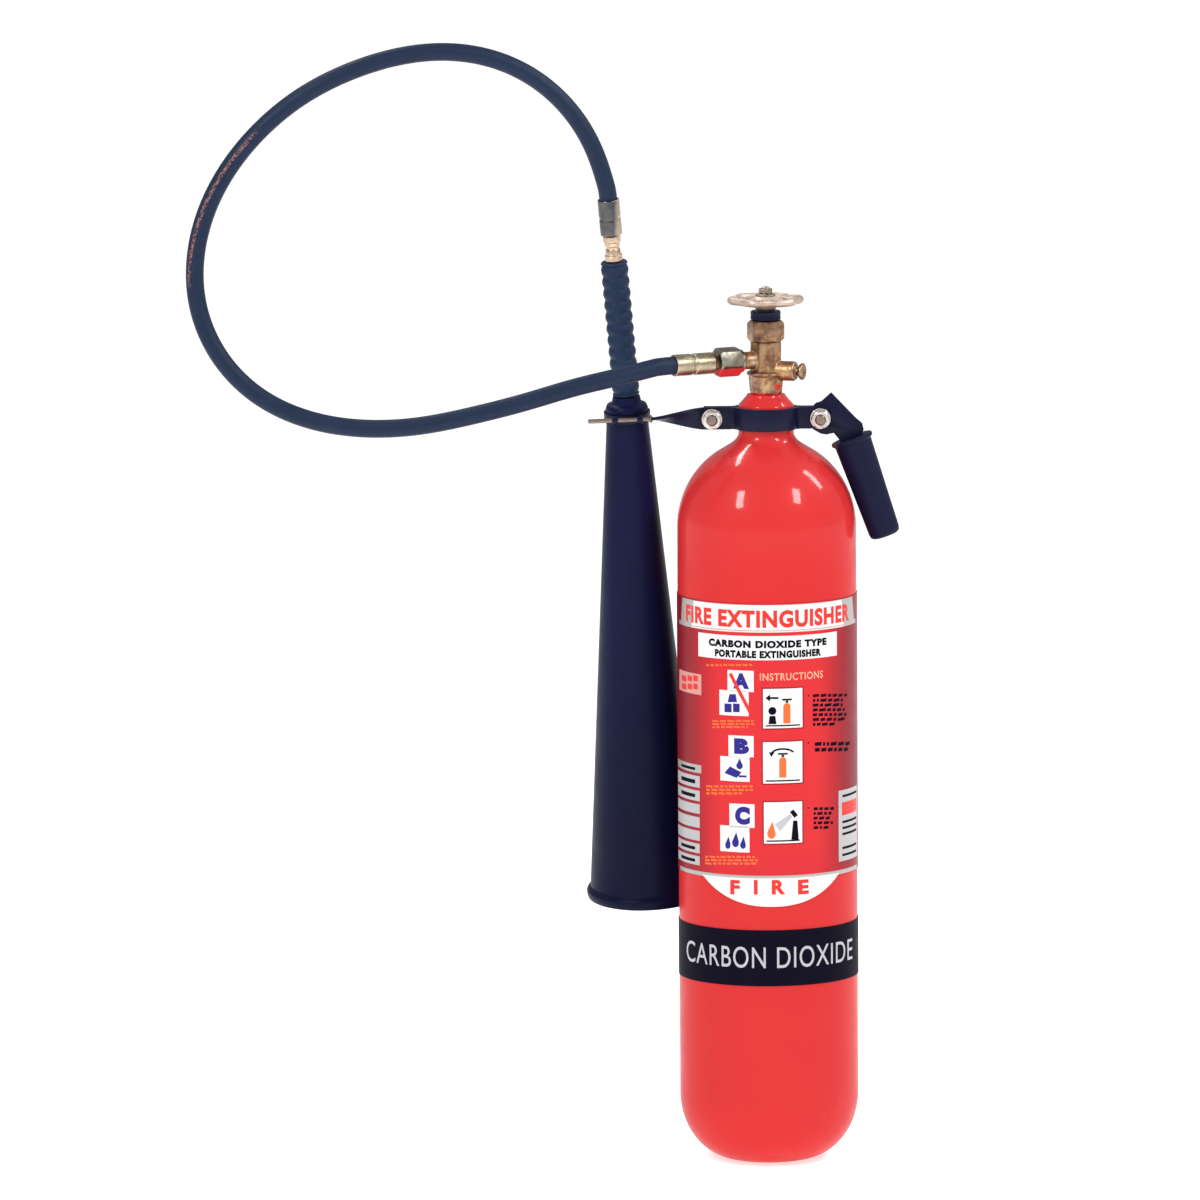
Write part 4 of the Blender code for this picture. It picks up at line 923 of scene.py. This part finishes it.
def twisted_strap(name, x_start, x_end):
    """Strap gripped flat by the clamp, then twisted a quarter turn and drawn to a point."""
    mesh = bpy.data.meshes.new(name)
    bm = bmesh.new()
    bmesh.ops.create_cube(bm, size=1.0, matrix=Matrix.Translation(((x_start + x_end) / 2, 0, 0))
                          @ Matrix.Diagonal((x_start - x_end, 1.0, 1.0, 1.0)))
    for i in range(45):
        x = -50.0 + (x_end + 50.0) * i / 45
        bmesh.ops.bisect_plane(bm, geom=bm.verts[:] + bm.edges[:] + bm.faces[:], plane_co=(x, 0, 0), plane_no=(1, 0, 0))
    for z in (-0.25, 0.0, 0.25):
        bmesh.ops.bisect_plane(bm, geom=bm.verts[:] + bm.edges[:] + bm.faces[:], plane_co=(0, 0, z), plane_no=(0, 0, 1))
    for v in bm.verts:
        t = min(1.0, max(0.0, (-50.0 - v.co.x) / (-50.0 - x_end)))
        width, thick = 17.2 + (7.0 - 17.2) * t, STRAP_T + (2.5 - STRAP_T) * t
        angle = math.radians(88.0) * t
        y, z = v.co.y * thick, v.co.z * width
        v.co = (v.co.x * MM, (y * math.cos(angle) - z * math.sin(angle)) * MM,
                (BOLT_Z + y * math.sin(angle) + z * math.cos(angle)) * MM)
    bm.to_mesh(mesh)
    bm.free()
    strap = bpy.data.objects.new(name, mesh)
    combine(strap, [prism("hh", 40, 4.3, 4.3, -12, 12, BOLT["left"])], 'DIFFERENCE')
    return bevelled(strap, 0.4, 3, 35.0)


finish(twisted_strap("arm_strap", -27.5, -89.5), "enamel", ROOT, "horn_arm")


def uneven(r, z, a):
    return r + 0.05 * math.sin(3 * a + z * 0.9) + 0.04 * math.sin(z * 2.3)


finish(lathe("pin_rod", [(0, -18.2), (1.75, -18.2, 0.2)] + [(1.75, z) for z in range(-16, 30, 2)]
             + [(1.75, 30.0, 0.2), (1.2, 30.6, 0.2), (0, 30.6)], 24, PIN, wobble=uneven), "rusty", ROOT, "horn_pin")


def weld_bead():
    """Weld that joins the pin to the strap's tip: overlapping beads round the joint."""
    mesh = bpy.data.meshes.new("pin_weld")
    bm = bmesh.new()
    spot = random.Random(4)
    for k in range(9):
        a = 2 * math.pi * k / 9
        at = Vector((-89.7, 1.7 * math.cos(a) * 1.15, 583.15 + 1.7 * math.sin(a)))
        size = 1.25 + 0.25 * spot.random()
        bmesh.ops.create_icosphere(bm, subdivisions=3, radius=size * MM,
                                   matrix=Matrix.Translation(at * MM) @ Matrix.Rotation(a, 4, 'X')
                                   @ Matrix.Diagonal((0.9, 1.0, 0.8, 1.0)))
    bm.to_mesh(mesh)
    bm.free()
    bead = bpy.data.objects.new("pin_weld", mesh)
    return cast_soft(bead, 0.22, 2, 0.4)


finish(weld_bead(), "rusty", ROOT, sharp=70)


# ---------------------------------------------------------------- horn
def horn_profile():
    out = [(6.6, -3.3, 0.3), (16.6, -3.3, 0.5), (16.6, 7.05, 2.0), (17.2, 15.0)]
    out += [(17.2 + 0.0752 * (s - 15.0), float(s)) for s in range(40, 378, 26)]
    out += [(44.55, 379.0, 1.0), (46.6, 380.6, 1.0), (47.6, 382.6, 1.2), (47.6, 385.4, 1.2), (46.8, 388.2, 1.0),
            (45.6, HORN_LEN, 0.6), (44.9, HORN_LEN, 0.4), (42.3, 383.0, 1.0), (42.1, 380.0, 1.0)]
    out += [(42.1 - (42.1 - 14.6) * (380.0 - s) / 365.0, float(s)) for s in range(350, 20, -30)]
    out += [(14.6, 15.0, 1.0), (13.2, 3.0, 0.8), (6.6, 3.0, 0.3)]
    return out


def parting(r, z, a):
    """A faint moulding line down each side of the horn."""
    if not 12.0 < z < 378.0 or r < 17.0 or abs(r - (17.2 + 0.0752 * (z - 15.0))) > 0.4:
        return r
    near = min(abs(math.sin(a - 0.35)), 1.0)
    return r + (0.22 if near < 0.5 / r else 0.0)


finish(lathe("horn_cone", horn_profile(), 160, HORN, wobble=parting), "plastic", HORN_BODY, "horn", sharp=45)
finish(lathe("nozzle", [(2.0, -7.0), (5.5, -7.0, 0.2), (6.2, -6.0), (6.2, 3.3), (9.0, 3.3, 0.2), (9.0, 6.2, 0.4),
                        (5.0, 7.0, 0.4), (5.0, 14.0, 0.4), (2.0, 14.0, 0.3)], 48, HORN), "brass_nut", HORN_BODY,
       "horn_nozzle")
finish(lathe("socket_cap", [(6.9, -3.6), (16.5, -3.6, 0.4), (16.5, -7.6, 2.0), (15.4, -10.4, 1.4), (11.6, -11.6, 0.8),
                            (10.6, -17.0, 0.5), (6.4, -17.0, 0.3), (6.4, -10.0), (6.9, -9.4)], 112, HORN), "plastic",
       HORN_BODY, "horn_socket", sharp=45)
band = lathe("neck_band", [(16.95, -4.8), (18.15, -4.8), (18.15, 1.6), (16.95, 1.6)], 96, HORN, radius=0.25)
combine(band, [lathe("eye_a", [(0, -12.1), (3.2, -12.1, 0.4), (3.2, -7.6, 0.4), (0, -7.6)], 40, PIN),
               lathe("eye_b", [(0, 7.4), (3.2, 7.4, 0.4), (3.2, 11.9, 0.4), (0, 11.9)], 40, PIN)], 'UNION')
combine(band, [lathe("bore", [(0, -20), (2.15, -20), (2.15, 20), (0, 20)], 40, PIN)], 'DIFFERENCE')
finish(band, "enamel", HORN_BODY, "horn_neck_band")


def grip_profile(pitch=9.4, crest=10.75, valley=9.45, bore=5.3):
    count = int((GRIP_LEN - 4.0) / pitch)
    start = (GRIP_LEN - count * pitch) / 2 + 0.4
    pts = [(bore, 1.0), (crest - 1.0, 1.0, 0.8), (crest, 2.2, 0.8)]
    z = start - pitch / 2 + 0.4
    steps = 12
    for i in range(count * steps + 1):
        h = start + pitch * i / steps
        phase = (h - start) / pitch * 2 * math.pi
        swell = (0.5 - 0.5 * math.cos(phase)) ** 0.6
        pts.append((valley + (crest - valley) * swell, h))
    pts += [(crest, GRIP_LEN - 1.6, 0.6), (crest - 1.0, GRIP_LEN, 0.8), (bore, GRIP_LEN)]
    return pts


finish(lathe("grip_sleeve", grip_profile(), 80, GRIP), "grip", HORN_BODY, "horn_grip", sharp=60)

# ---------------------------------------------------------------- carry handle
ang = math.radians(HANDLE_DEG)
down, across = Vector((math.sin(ang), -math.cos(ang))), Vector((math.cos(ang), math.sin(ang)))
flange = Vector(HANDLE_FLANGE)
r0, l0 = flange + across * 9.0 - down * 2.2, flange - across * 9.0 - down * 2.2
r1, l1 = flange + across * 9.0 + down * 70.0, flange - across * 9.0 + down * 70.0
bar = plate("handle_strap", [(0.9, 13.0), (-3.5, 11.6), (-7.4, 7.6), (-9.0, 2.6), (-8.8, -3.4), (-5.6, -9.0), (0.2, -12.4),
                             (4.8, -13.2), (10.3, -11.9), tuple(l0), tuple(l1), tuple(r1), tuple(r0), (33.9, -9.5),
                             (32.6, -4.3), (27.5, 0.0), (8.6, 19.9)], STRAP_T,
            Matrix.Translation((BOLT_X * MM, 0, BOLT_Z * MM)) @ Matrix.Rotation(math.pi / 2, 4, 'X'))
combine(bar, [prism("hb", 40, 4.3, 4.3, -12, 12, BOLT["right"])], 'DIFFERENCE')
finish(bevelled(bar, 0.4, 3, 35.0), "enamel", HANDLE_BODY, "handle_bar")
HANDLE = frame_along((down.x, 0, down.y), (BOLT_X + flange.x, 0, BOLT_Z + flange.y))
finish(lathe("carry_grip", [(9.45, -1.5, 0.3), (16.1, -1.5, 0.5), (16.5, -1.0, 0.4), (16.5, 1.0, 0.4),
                            (16.0, 1.5, 0.6), (14.7, 2.4, 0.8), (14.4, 8.0), (13.9, 24.0), (13.3, 42.0), (12.8, 58.0),
                            (12.3, 75.5, 1.0), (11.6, 78.6, 1.5), (9.6, 80.0, 1.5), (0, 80.0), (0, 76.0), (9.45, 76.0, 1.0)],
             88, HANDLE), "handle", HANDLE_BODY, "handle_grip", sharp=45)

# ---------------------------------------------------------------- inner pieces keep their CAD shape
for node, look in {"dip_tube": "zinc", "valve_plug": "brass_nut", "seat_pad": "fibre", "thrust_washer": "fibre",
                   "gland_packing": "fibre", "safety_washer": "fibre", "burst_disc": "steel", "outlet_washer": "fibre",
                   "grip_tube": "zinc"}.items():
    NODES[node].data.materials.clear()
    NODES[node].data.materials.append(M[look])

# ---------------------------------------------------------------- printed art, wrapped on the wall
ART_R = LABEL_R + LABEL_T


def axis_px(py):
    return 770.4 - (1160 - py) * 0.00625


def px_u(px, py):
    """Distance round the wall, in millimetres, of a point seen at a place across the front view."""
    s = max(-0.995, min(0.995, (px - axis_px(py)) * MM_PX / ART_R))
    return ART_R * math.asin(s)


def py_z(py, px=770.0):
    """Height of a point of the wall seen at a place in the front view: the wall's depth there counts too."""
    s = max(-0.995, min(0.995, (px - axis_px(py)) * MM_PX / ART_R))
    return ((1160 - py) * MM_PX + ART_R * math.sqrt(1 - s * s) * math.sin(ELEV)) / math.cos(ELEV)


def at(px, py):
    return px_u(px, py), py_z(py, px)


class Ink:
    """Flat shapes in (distance round, height), gathered by colour and layer and then wrapped on the wall."""

    def __init__(self):
        self.sheets = {}

    def sheet(self, look, layer):
        return self.sheets.setdefault((look, layer), [])

    def poly(self, look, layer, points):
        self.sheet(look, layer).append(("poly", points))

    def rect(self, look, layer, px0, py0, px1, py1):
        mid = (px0 + px1) / 2
        u0, u1, z0, z1 = px_u(px0, py1), px_u(px1, py1), py_z(py1, mid), py_z(py0, mid)
        self.poly(look, layer, [(u0, z0), (u1, z0), (u1, z1), (u0, z1)])

    def quad(self, look, layer, *pixels):
        self.poly(look, layer, [at(*p) for p in pixels])

    def disc(self, look, layer, px, py, rx, ry, count=28, a0=0.0, a1=360.0):
        u, z = at(px, py)
        pts = [(u + rx * MM_PX * math.cos(math.radians(a0 + (a1 - a0) * i / count)),
                z + ry * MM_PX * math.sin(math.radians(a0 + (a1 - a0) * i / count)))
               for i in range(count if a1 - a0 >= 360 else count + 1)]
        self.poly(look, layer, pts)

    def text(self, look, layer, words, u0, z0, u1, z1, bold=0.0, spread=0.0, space=1.0):
        self.sheet(look, layer).append(("text", (words, u0, z0, u1, z1, bold, spread, space)))

    def text_px(self, look, layer, words, px0, py0, px1, py1, **kw):
        mid = (px0 + px1) / 2
        self.text(look, layer, words, px_u(px0, py1), py_z(py1, mid), px_u(px1, py1), py_z(py0, mid), **kw)

    def build(self, base_r):
        for (look, layer), shapes in sorted(self.sheets.items(), key=lambda kv: (kv[0][1], kv[0][0])):
            bm = bmesh.new()
            for kind, what in shapes:
                if kind == "poly":
                    verts = [bm.verts.new((u, 0.0, z)) for u, z in what]
                    bm.faces.new(verts)
                else:
                    self.letters(bm, *what)
            bmesh.ops.remove_doubles(bm, verts=bm.verts, dist=0.0005)
            us = [v.co.x for v in bm.verts]
            step, u = 2.6, math.floor(min(us) / 2.6) * 2.6
            while u < max(us):
                bmesh.ops.bisect_plane(bm, geom=bm.verts[:] + bm.edges[:] + bm.faces[:], plane_co=(u, 0, 0),
                                       plane_no=(1, 0, 0), dist=1e-5)
                u += step
            # Face the ink outwards, then give it thickness.
            for f in bm.faces:
                f.normal_update()
                if f.normal.y > 0:
                    f.normal_flip()
            made = bmesh.ops.extrude_face_region(bm, geom=bm.faces[:])
            top = [v for v in made["geom"] if isinstance(v, bmesh.types.BMVert)]
            for v in top:
                v.co.y = 1.0
            for v in bm.verts:
                r = base_r + (0.045 * layer if v.co.y > 0.5 else 0.045 * (layer - 1) - 0.02)
                a = v.co.x / ART_R
                v.co = (r * math.sin(a) * MM, -r * math.cos(a) * MM, v.co.z * MM)
            bmesh.ops.recalc_face_normals(bm, faces=bm.faces)
            mesh = bpy.data.meshes.new("art")
            bm.to_mesh(mesh)
            bm.free()
            finish(bpy.data.objects.new("print_%s_%d" % (look, layer), mesh), look, ROOT)

    @staticmethod
    def letters(bm, words, u0, z0, u1, z1, bold, spread, space):
        curve = bpy.data.curves.new("words", 'FONT')
        curve.body, curve.size, curve.offset = words, 1.0, bold
        curve.space_character = space
        curve.resolution_u = 5
        obj = link(bpy.data.objects.new("words", curve))
        bpy.context.view_layer.update()
        mesh = bpy.data.meshes.new_from_object(obj.evaluated_get(bpy.context.evaluated_depsgraph_get()))
        bpy.data.objects.remove(obj, do_unlink=True)
        co = np.array([v.co for v in mesh.vertices])
        lo, hi = co.min(0), co.max(0)
        made = []
        for x, y, _ in co:
            t = (x - lo[0]) / (hi[0] - lo[0]) * 2 - 1
            if spread:
                top = math.sin(spread)
                t = (1 - 0.35) * t + 0.35 * math.asin(t * top) / spread
            u = (u0 + u1) / 2 + (u1 - u0) / 2 * t
            made.append(bm.verts.new((u, 0.0, z0 + (z1 - z0) * (y - lo[1]) / (hi[1] - lo[1]))))
        for p in mesh.polygons:
            try:
                bm.faces.new([made[i] for i in p.vertices])
            except ValueError:
                pass
        bpy.data.meshes.remove(mesh)


def film_shell(name, look, r1, r2, z1, z2, half_deg, node):
    """Thin printed film, either all the way round or centred on the front."""
    if half_deg >= 180:
        obj = lathe(name, [(r1, z1), (r2, z1), (r2, z2), (r1, z2)], 192)
    else:
        outline = arc(0, 0, r2, -90 - half_deg, -90 + half_deg, 150) + arc(0, 0, r1, -90 + half_deg, -90 - half_deg, 150)
        obj = plate(name, outline, z2 - z1, Matrix.Translation((0, 0, (z1 + z2) / 2 * MM)))
    return finish(obj, look, ROOT, node)


film_shell("label_sheet", "label", LABEL_R - 0.05, ART_R, 230.2, 446.9, 150.0, "instruction_label")
film_shell("band_sheet", "black", LABEL_R - 0.05, ART_R, BAND_Z[0] + 0.6, BAND_Z[1] + 2.1, 180.0, "agent_band")

ink = Ink()
# Title band with silver ends, generic words in place of the maker's.
half = ART_R * math.radians(71.0)
ink.poly("silver", 1, [(-half - 7, 424.5), (half + 7, 424.5), (half + 7, 427.6), (half + 2.9, 427.6), (half - 1.5, 446.2),
                       (-half + 1.5, 446.2), (-half - 2.0, 427.6), (-half - 7, 427.6)])
ink.poly("white", 2, [(-half + 17.0, 424.8), (half - 17.0, 424.8), (half - 20.0, 445.9), (-half + 20.0, 445.9)])
ink.poly("pink", 3, [(-half + 17.5, 425.6), (half - 17.5, 425.6), (half - 17.6, 426.3), (-half + 17.6, 426.3)])
ink.text("red_ink", 3, "FIRE EXTINGUISHER", -half + 8.5, 428.2, half - 8.5, 442.0, bold=0.046, space=1.12)
# Plate naming the type.
ink.poly("white", 1, [(-61.5, 402.9), (61.0, 402.9), (61.0, 421.8), (-61.5, 421.8)])
ink.text("black", 2, "CARBON DIOXIDE TYPE", -50.0, 412.3, 49.5, 418.2, bold=0.066, space=1.16)
ink.text("black", 2, "PORTABLE EXTINGUISHER", -44.0, 404.4, 44.0, 410.3, bold=0.066, space=1.16)
ink.text_px("salmon", 1, "INSTRUCTIONS", 759, 673.5, 822, 681.0, bold=0.022, space=1.12)
# Class tiles: a letter on one tile, a simple sign on the tile below it.
for letter, x0, y0, x1, y1, sx0, sy0, sx1, sy1 in (
        ("A", 727, 671, 753, 692.5, 719, 691, 748, 716), ("B", 728, 736, 753, 757.5, 720, 757, 749, 781.5),
        ("C", 729, 804, 754, 828, 720, 826, 749, 852)):
    ink.rect("white", 1, sx0, sy0, sx1, sy1)
    ink.rect("white", 1, x0, y0, x1, y1 - 0.4)
    ink.text_px("blue", 2, letter, x0 + 5.6, y0 + 2.7, x1 - 4.6, y1 - 3.2, bold=0.085)
# Solid fuel: three blocks.  Liquid: drop and pool.  Gas: three flames.
ink.rect("blue", 2, 724, 704, 731, 712.5)
ink.rect("blue", 2, 732.5, 704, 739, 712.5)
ink.quad("blue", 2, (727, 702.5), (736.5, 702.5), (735, 694.5), (729, 694.5))
ink.quad("red_ink", 3, (748.5, 714.5), (751.6, 713.2), (731.0, 673.0), (728.2, 674.6))
ink.quad("blue", 2, (724, 773), (736, 778), (741, 772.5), (729.5, 766.5))
ink.disc("blue", 2, 739, 766, 3.4, 3.4)
ink.quad("blue", 2, (736.2, 764.6), (741.8, 764.6), (739, 758.6))
ink.rect("blue", 2, 738, 775.5, 746, 777.5)
for fx, fy, fs in ((727.5, 843.5, 1.0), (735, 841, 1.25), (742.5, 843.5, 1.0)):
    ink.disc("blue", 2, fx, fy + 2, 2.9 * fs, 3.4 * fs)
    ink.quad("blue", 2, (fx - 2.8 * fs, fy + 1.0), (fx + 2.8 * fs, fy + 1.0), (fx + 0.6 * fs, fy - 7.0 * fs))


def picture(x0, y0, x1, y1):
    ink.rect("maroon", 1, x0, y0, x1, y1)
    ink.rect("white", 2, x0 + 1.4, y0 + 1.4, x1 - 1.4, y1 - 1.4)
    ink.rect("black", 3, x0 + 4, y1 - 4.6, x1 - 4, y1 - 3.2)


def bottle(cx, cy, s):
    """Pictogram of a small extinguisher: body, neck and horn."""
    ink.rect("orange", 3, cx - 3.4 * s, cy - 7 * s, cx + 3.4 * s, cy + 9 * s)
    ink.disc("orange", 3, cx, cy - 7 * s, 3.4 * s, 3.4 * s, a0=0, a1=180)
    ink.rect("black", 3, cx - 1.3 * s, cy - 12.5 * s, cx + 1.3 * s, cy - 10.6 * s)
    ink.rect("black", 3, cx - 4.6 * s, cy - 14.4 * s, cx + 4.6 * s, cy - 12.7 * s)


def arrow(points, head):
    ink.quad("black", 3, *points)
    ink.quad("black", 3, *head)


picture(761, 688, 803, 730)
bottle(786, 714.5, 1.05)
arrow(((768.5, 699.6), (777.5, 699.6), (777.5, 697.6), (768.5, 697.6)), ((769.2, 702.2), (769.2, 695.0), (764.6, 698.6)))
ink.disc("black", 3, 771.5, 711.5, 4.0, 4.0)
ink.quad("black", 3, (767.6, 724.6), (775.6, 724.6), (774.4, 716.4), (768.8, 716.4))
picture(761, 741, 803, 785)
bottle(782, 768.5, 1.05)
ink.poly("black", 3, [at(782 + 11.5 * math.cos(math.radians(t)), 753.5 - 5.0 * math.sin(math.radians(t)))
                      for t in range(10, 171, 16)]
         + [at(782 + 9.3 * math.cos(math.radians(t)), 753.5 - 3.2 * math.sin(math.radians(t)))
            for t in range(170, 9, -16)])
ink.quad("black", 3, (768.2, 752.6), (773.8, 752.6), (770.4, 757.6))
picture(762, 801, 803, 845)
ink.quad("black", 3, (789, 812.4), (792.6, 809.8), (797.2, 815.6), (793.6, 818.2))
ink.quad("grey", 3, (779.4, 831.6), (774.0, 824.4), (789.4, 814.4), (791.6, 817.2))
ink.disc("orange", 3, 770.8, 834.0, 4.2, 5.0)
ink.quad("orange", 3, (767.0, 831.6), (774.4, 831.6), (771.8, 821.6))
ink.quad("black", 3, (790.6, 840.0), (798.0, 840.0), (796.6, 821.0), (792.4, 821.0))


def small_print(look, px0, py0, px1, py1, rows, seed, thick=0.52, words=(3.0, 9.0)):
    """Rows of short bars where the print is too small to read."""
    rnd = random.Random(seed)
    pitch = (py1 - py0) / rows
    for i in range(rows):
        y = py0 + pitch * i
        x, end = px0, px1 - rnd.random() * (px1 - px0) * (0.35 if i == rows - 1 else 0.12)
        while x < end - 1.5:
            w = min(rnd.uniform(*words), end - x)
            ink.rect(look, 1, x, y, x + w, y + pitch * thick)
            x += w + 1.5


small_print("black", 812, 695.0, 847, 728.5, 7, 1, 0.60, (2.0, 7.0))
small_print("black", 814, 743.0, 854, 754.5, 2, 2, 0.62, (2.0, 7.0))
small_print("black", 813, 808.0, 834, 831.5, 5, 3, 0.60, (2.0, 6.0))
for py in (694.5, 741.5, 806.5):
    ink.disc("black", 1, 807.5, py + 2, 0.9, 0.9, 12)
small_print("orange", 706, 664.6, 757, 667.0, 1, 4, 0.8, (2.0, 6.0))
small_print("orange", 712, 720.5, 756, 729.5, 3, 5, 0.58, (2.2, 7.0))
small_print("orange", 706, 785.5, 757, 796.0, 3, 6, 0.58, (2.2, 7.0))
small_print("orange", 705, 856.0, 758, 866.0, 3, 7, 0.58, (2.2, 7.0))
# Left-hand mark and table, and the panel that goes round the right side.
ink.rect("pink", 1, 679.5, 673, 701, 693.5)
for i, y in enumerate((676.0, 684.0)):
    for k in range(3):
        ink.rect("red_ink", 2, 682.0 + 5.6 * k, y, 686.4 + 5.6 * k, y + 5.6)
for i, (y0, y1) in enumerate(((763.5, 771.5), (774.5, 786), (789, 799.5), (802.5, 812), (815.5, 826), (829, 839),
                              (842, 851.5), (854.5, 863.5))):
    ink.rect("ash" if i else "silver", 1, 678.2, y0, 699.5 - (0 if i else -1.5), y1)
    if i in (0, 1, 2, 6, 7):
        ink.rect("black", 2, 681.5, y0 + (y1 - y0) * 0.34, 695.0, y1 - (y1 - y0) * 0.32)
ink.rect("ash", 1, 838.5, 790, 857.4, 861)
ink.rect("red_ink", 2, 841.5, 802, 856.6, 815)
for y in (794.5, 820.5, 826.5, 832.5, 846.5, 853.5):
    ink.rect("black", 2, 842.0, y, 856.4, y + 2.4)
# Foot of the label: silver line, and a white crescent with spaced letters.
ink.poly("silver", 1, [(-half - 9, 230.4), (half + 9, 230.4), (half + 9, 233.6), (-half - 9, 233.6)])
crescent = [(2.4 + 60.5 * t / 20, 231.6 - 22.4 * (1 - abs(t / 20) ** 2.3) * (abs(t) < 20)) for t in range(-20, 21)]
ink.poly("white", 2, crescent)
for letter, x0, x1 in (("F", 730, 739.5), ("I", 753.4, 757.2), ("R", 771.2, 784.6), ("E", 797.4, 808.2)):
    ink.text_px("red_ink", 3, letter, x0, 880.0, x1, 894.6, bold=0.050)
ink.text("grey", 1, "CARBON DIOXIDE", -81.0, 160.7, 83.0, 177.4, bold=0.002, spread=math.radians(66.0), space=1.10)
ink.build(ART_R)

# ---------------------------------------------------------------- floor, world and lights
floor_mesh = bpy.data.meshes.new("floor")
bm = bmesh.new()
bmesh.ops.create_grid(bm, x_segments=2, y_segments=2, size=60.0)
bm.to_mesh(floor_mesh)
bm.free()
floor = link(bpy.data.objects.new("floor", floor_mesh))
floor.location = (0, 0, -0.0002)
pale = Nodes("pale_floor")
pale.set(color=(0.90, 0.90, 0.90), rough=0.9, spec=0.1)
pale.bsdf.inputs["Emission Color"].default_value = (1.0, 1.0, 1.0, 1.0)
pale.bsdf.inputs["Emission Strength"].default_value = 0.62
floor.data.materials.append(pale.mat)

world = bpy.data.worlds.new("studio")
scene.world = world
world.use_nodes = True
world.node_tree.nodes["Background"].inputs["Color"].default_value = (1.0, 1.0, 1.0, 1.0)
world.node_tree.nodes["Background"].inputs["Strength"].default_value = 0.45


def area_light(name, at_point, look_at, size, power, size_y=None, color=(1, 1, 1)):
    data = bpy.data.lights.new(name, 'AREA')
    data.shape = 'RECTANGLE'
    data.size, data.size_y = size, size_y or size
    data.energy, data.color = power, color
    obj = link(bpy.data.objects.new(name, data))
    obj.location = at_point
    obj.rotation_euler = (Vector(look_at) - Vector(at_point)).to_track_quat('-Z', 'Y').to_euler()
    return obj


AIM = Vector((0, 0, 0.52))


def window(name, way, along, width, length, watts, dist=2.8):
    """Area light whose long side lies along a chosen direction, so that its glint lies right on the shoulder."""
    z = Vector(way).normalized()
    y = Vector(along)
    y = (y - z * y.dot(z)).normalized()
    x = y.cross(z)
    obj = area_light(name, AIM + z * dist, AIM, width, watts, length)
    obj.rotation_euler = Matrix((x, y, z)).transposed().to_euler()


window("left_window", (-0.538, -0.584, 0.605), (0.16, 0.55, 0.82), 0.42, 1.05, 38)
window("right_window", (0.588, -0.497, 0.639), (-0.10, 0.60, 0.80), 0.44, 0.90, 32)
window("left_strip", (-0.355, 0.396, 0.846), (0.409, 0.880, -0.239), 0.20, 1.15, 17)
window("right_strip", (0.716, 0.152, 0.682), (0.696, -0.100, -0.708), 0.34, 1.05, 24)
scene.view_settings.view_transform = 'Standard'
scene.view_settings.look = 'None'
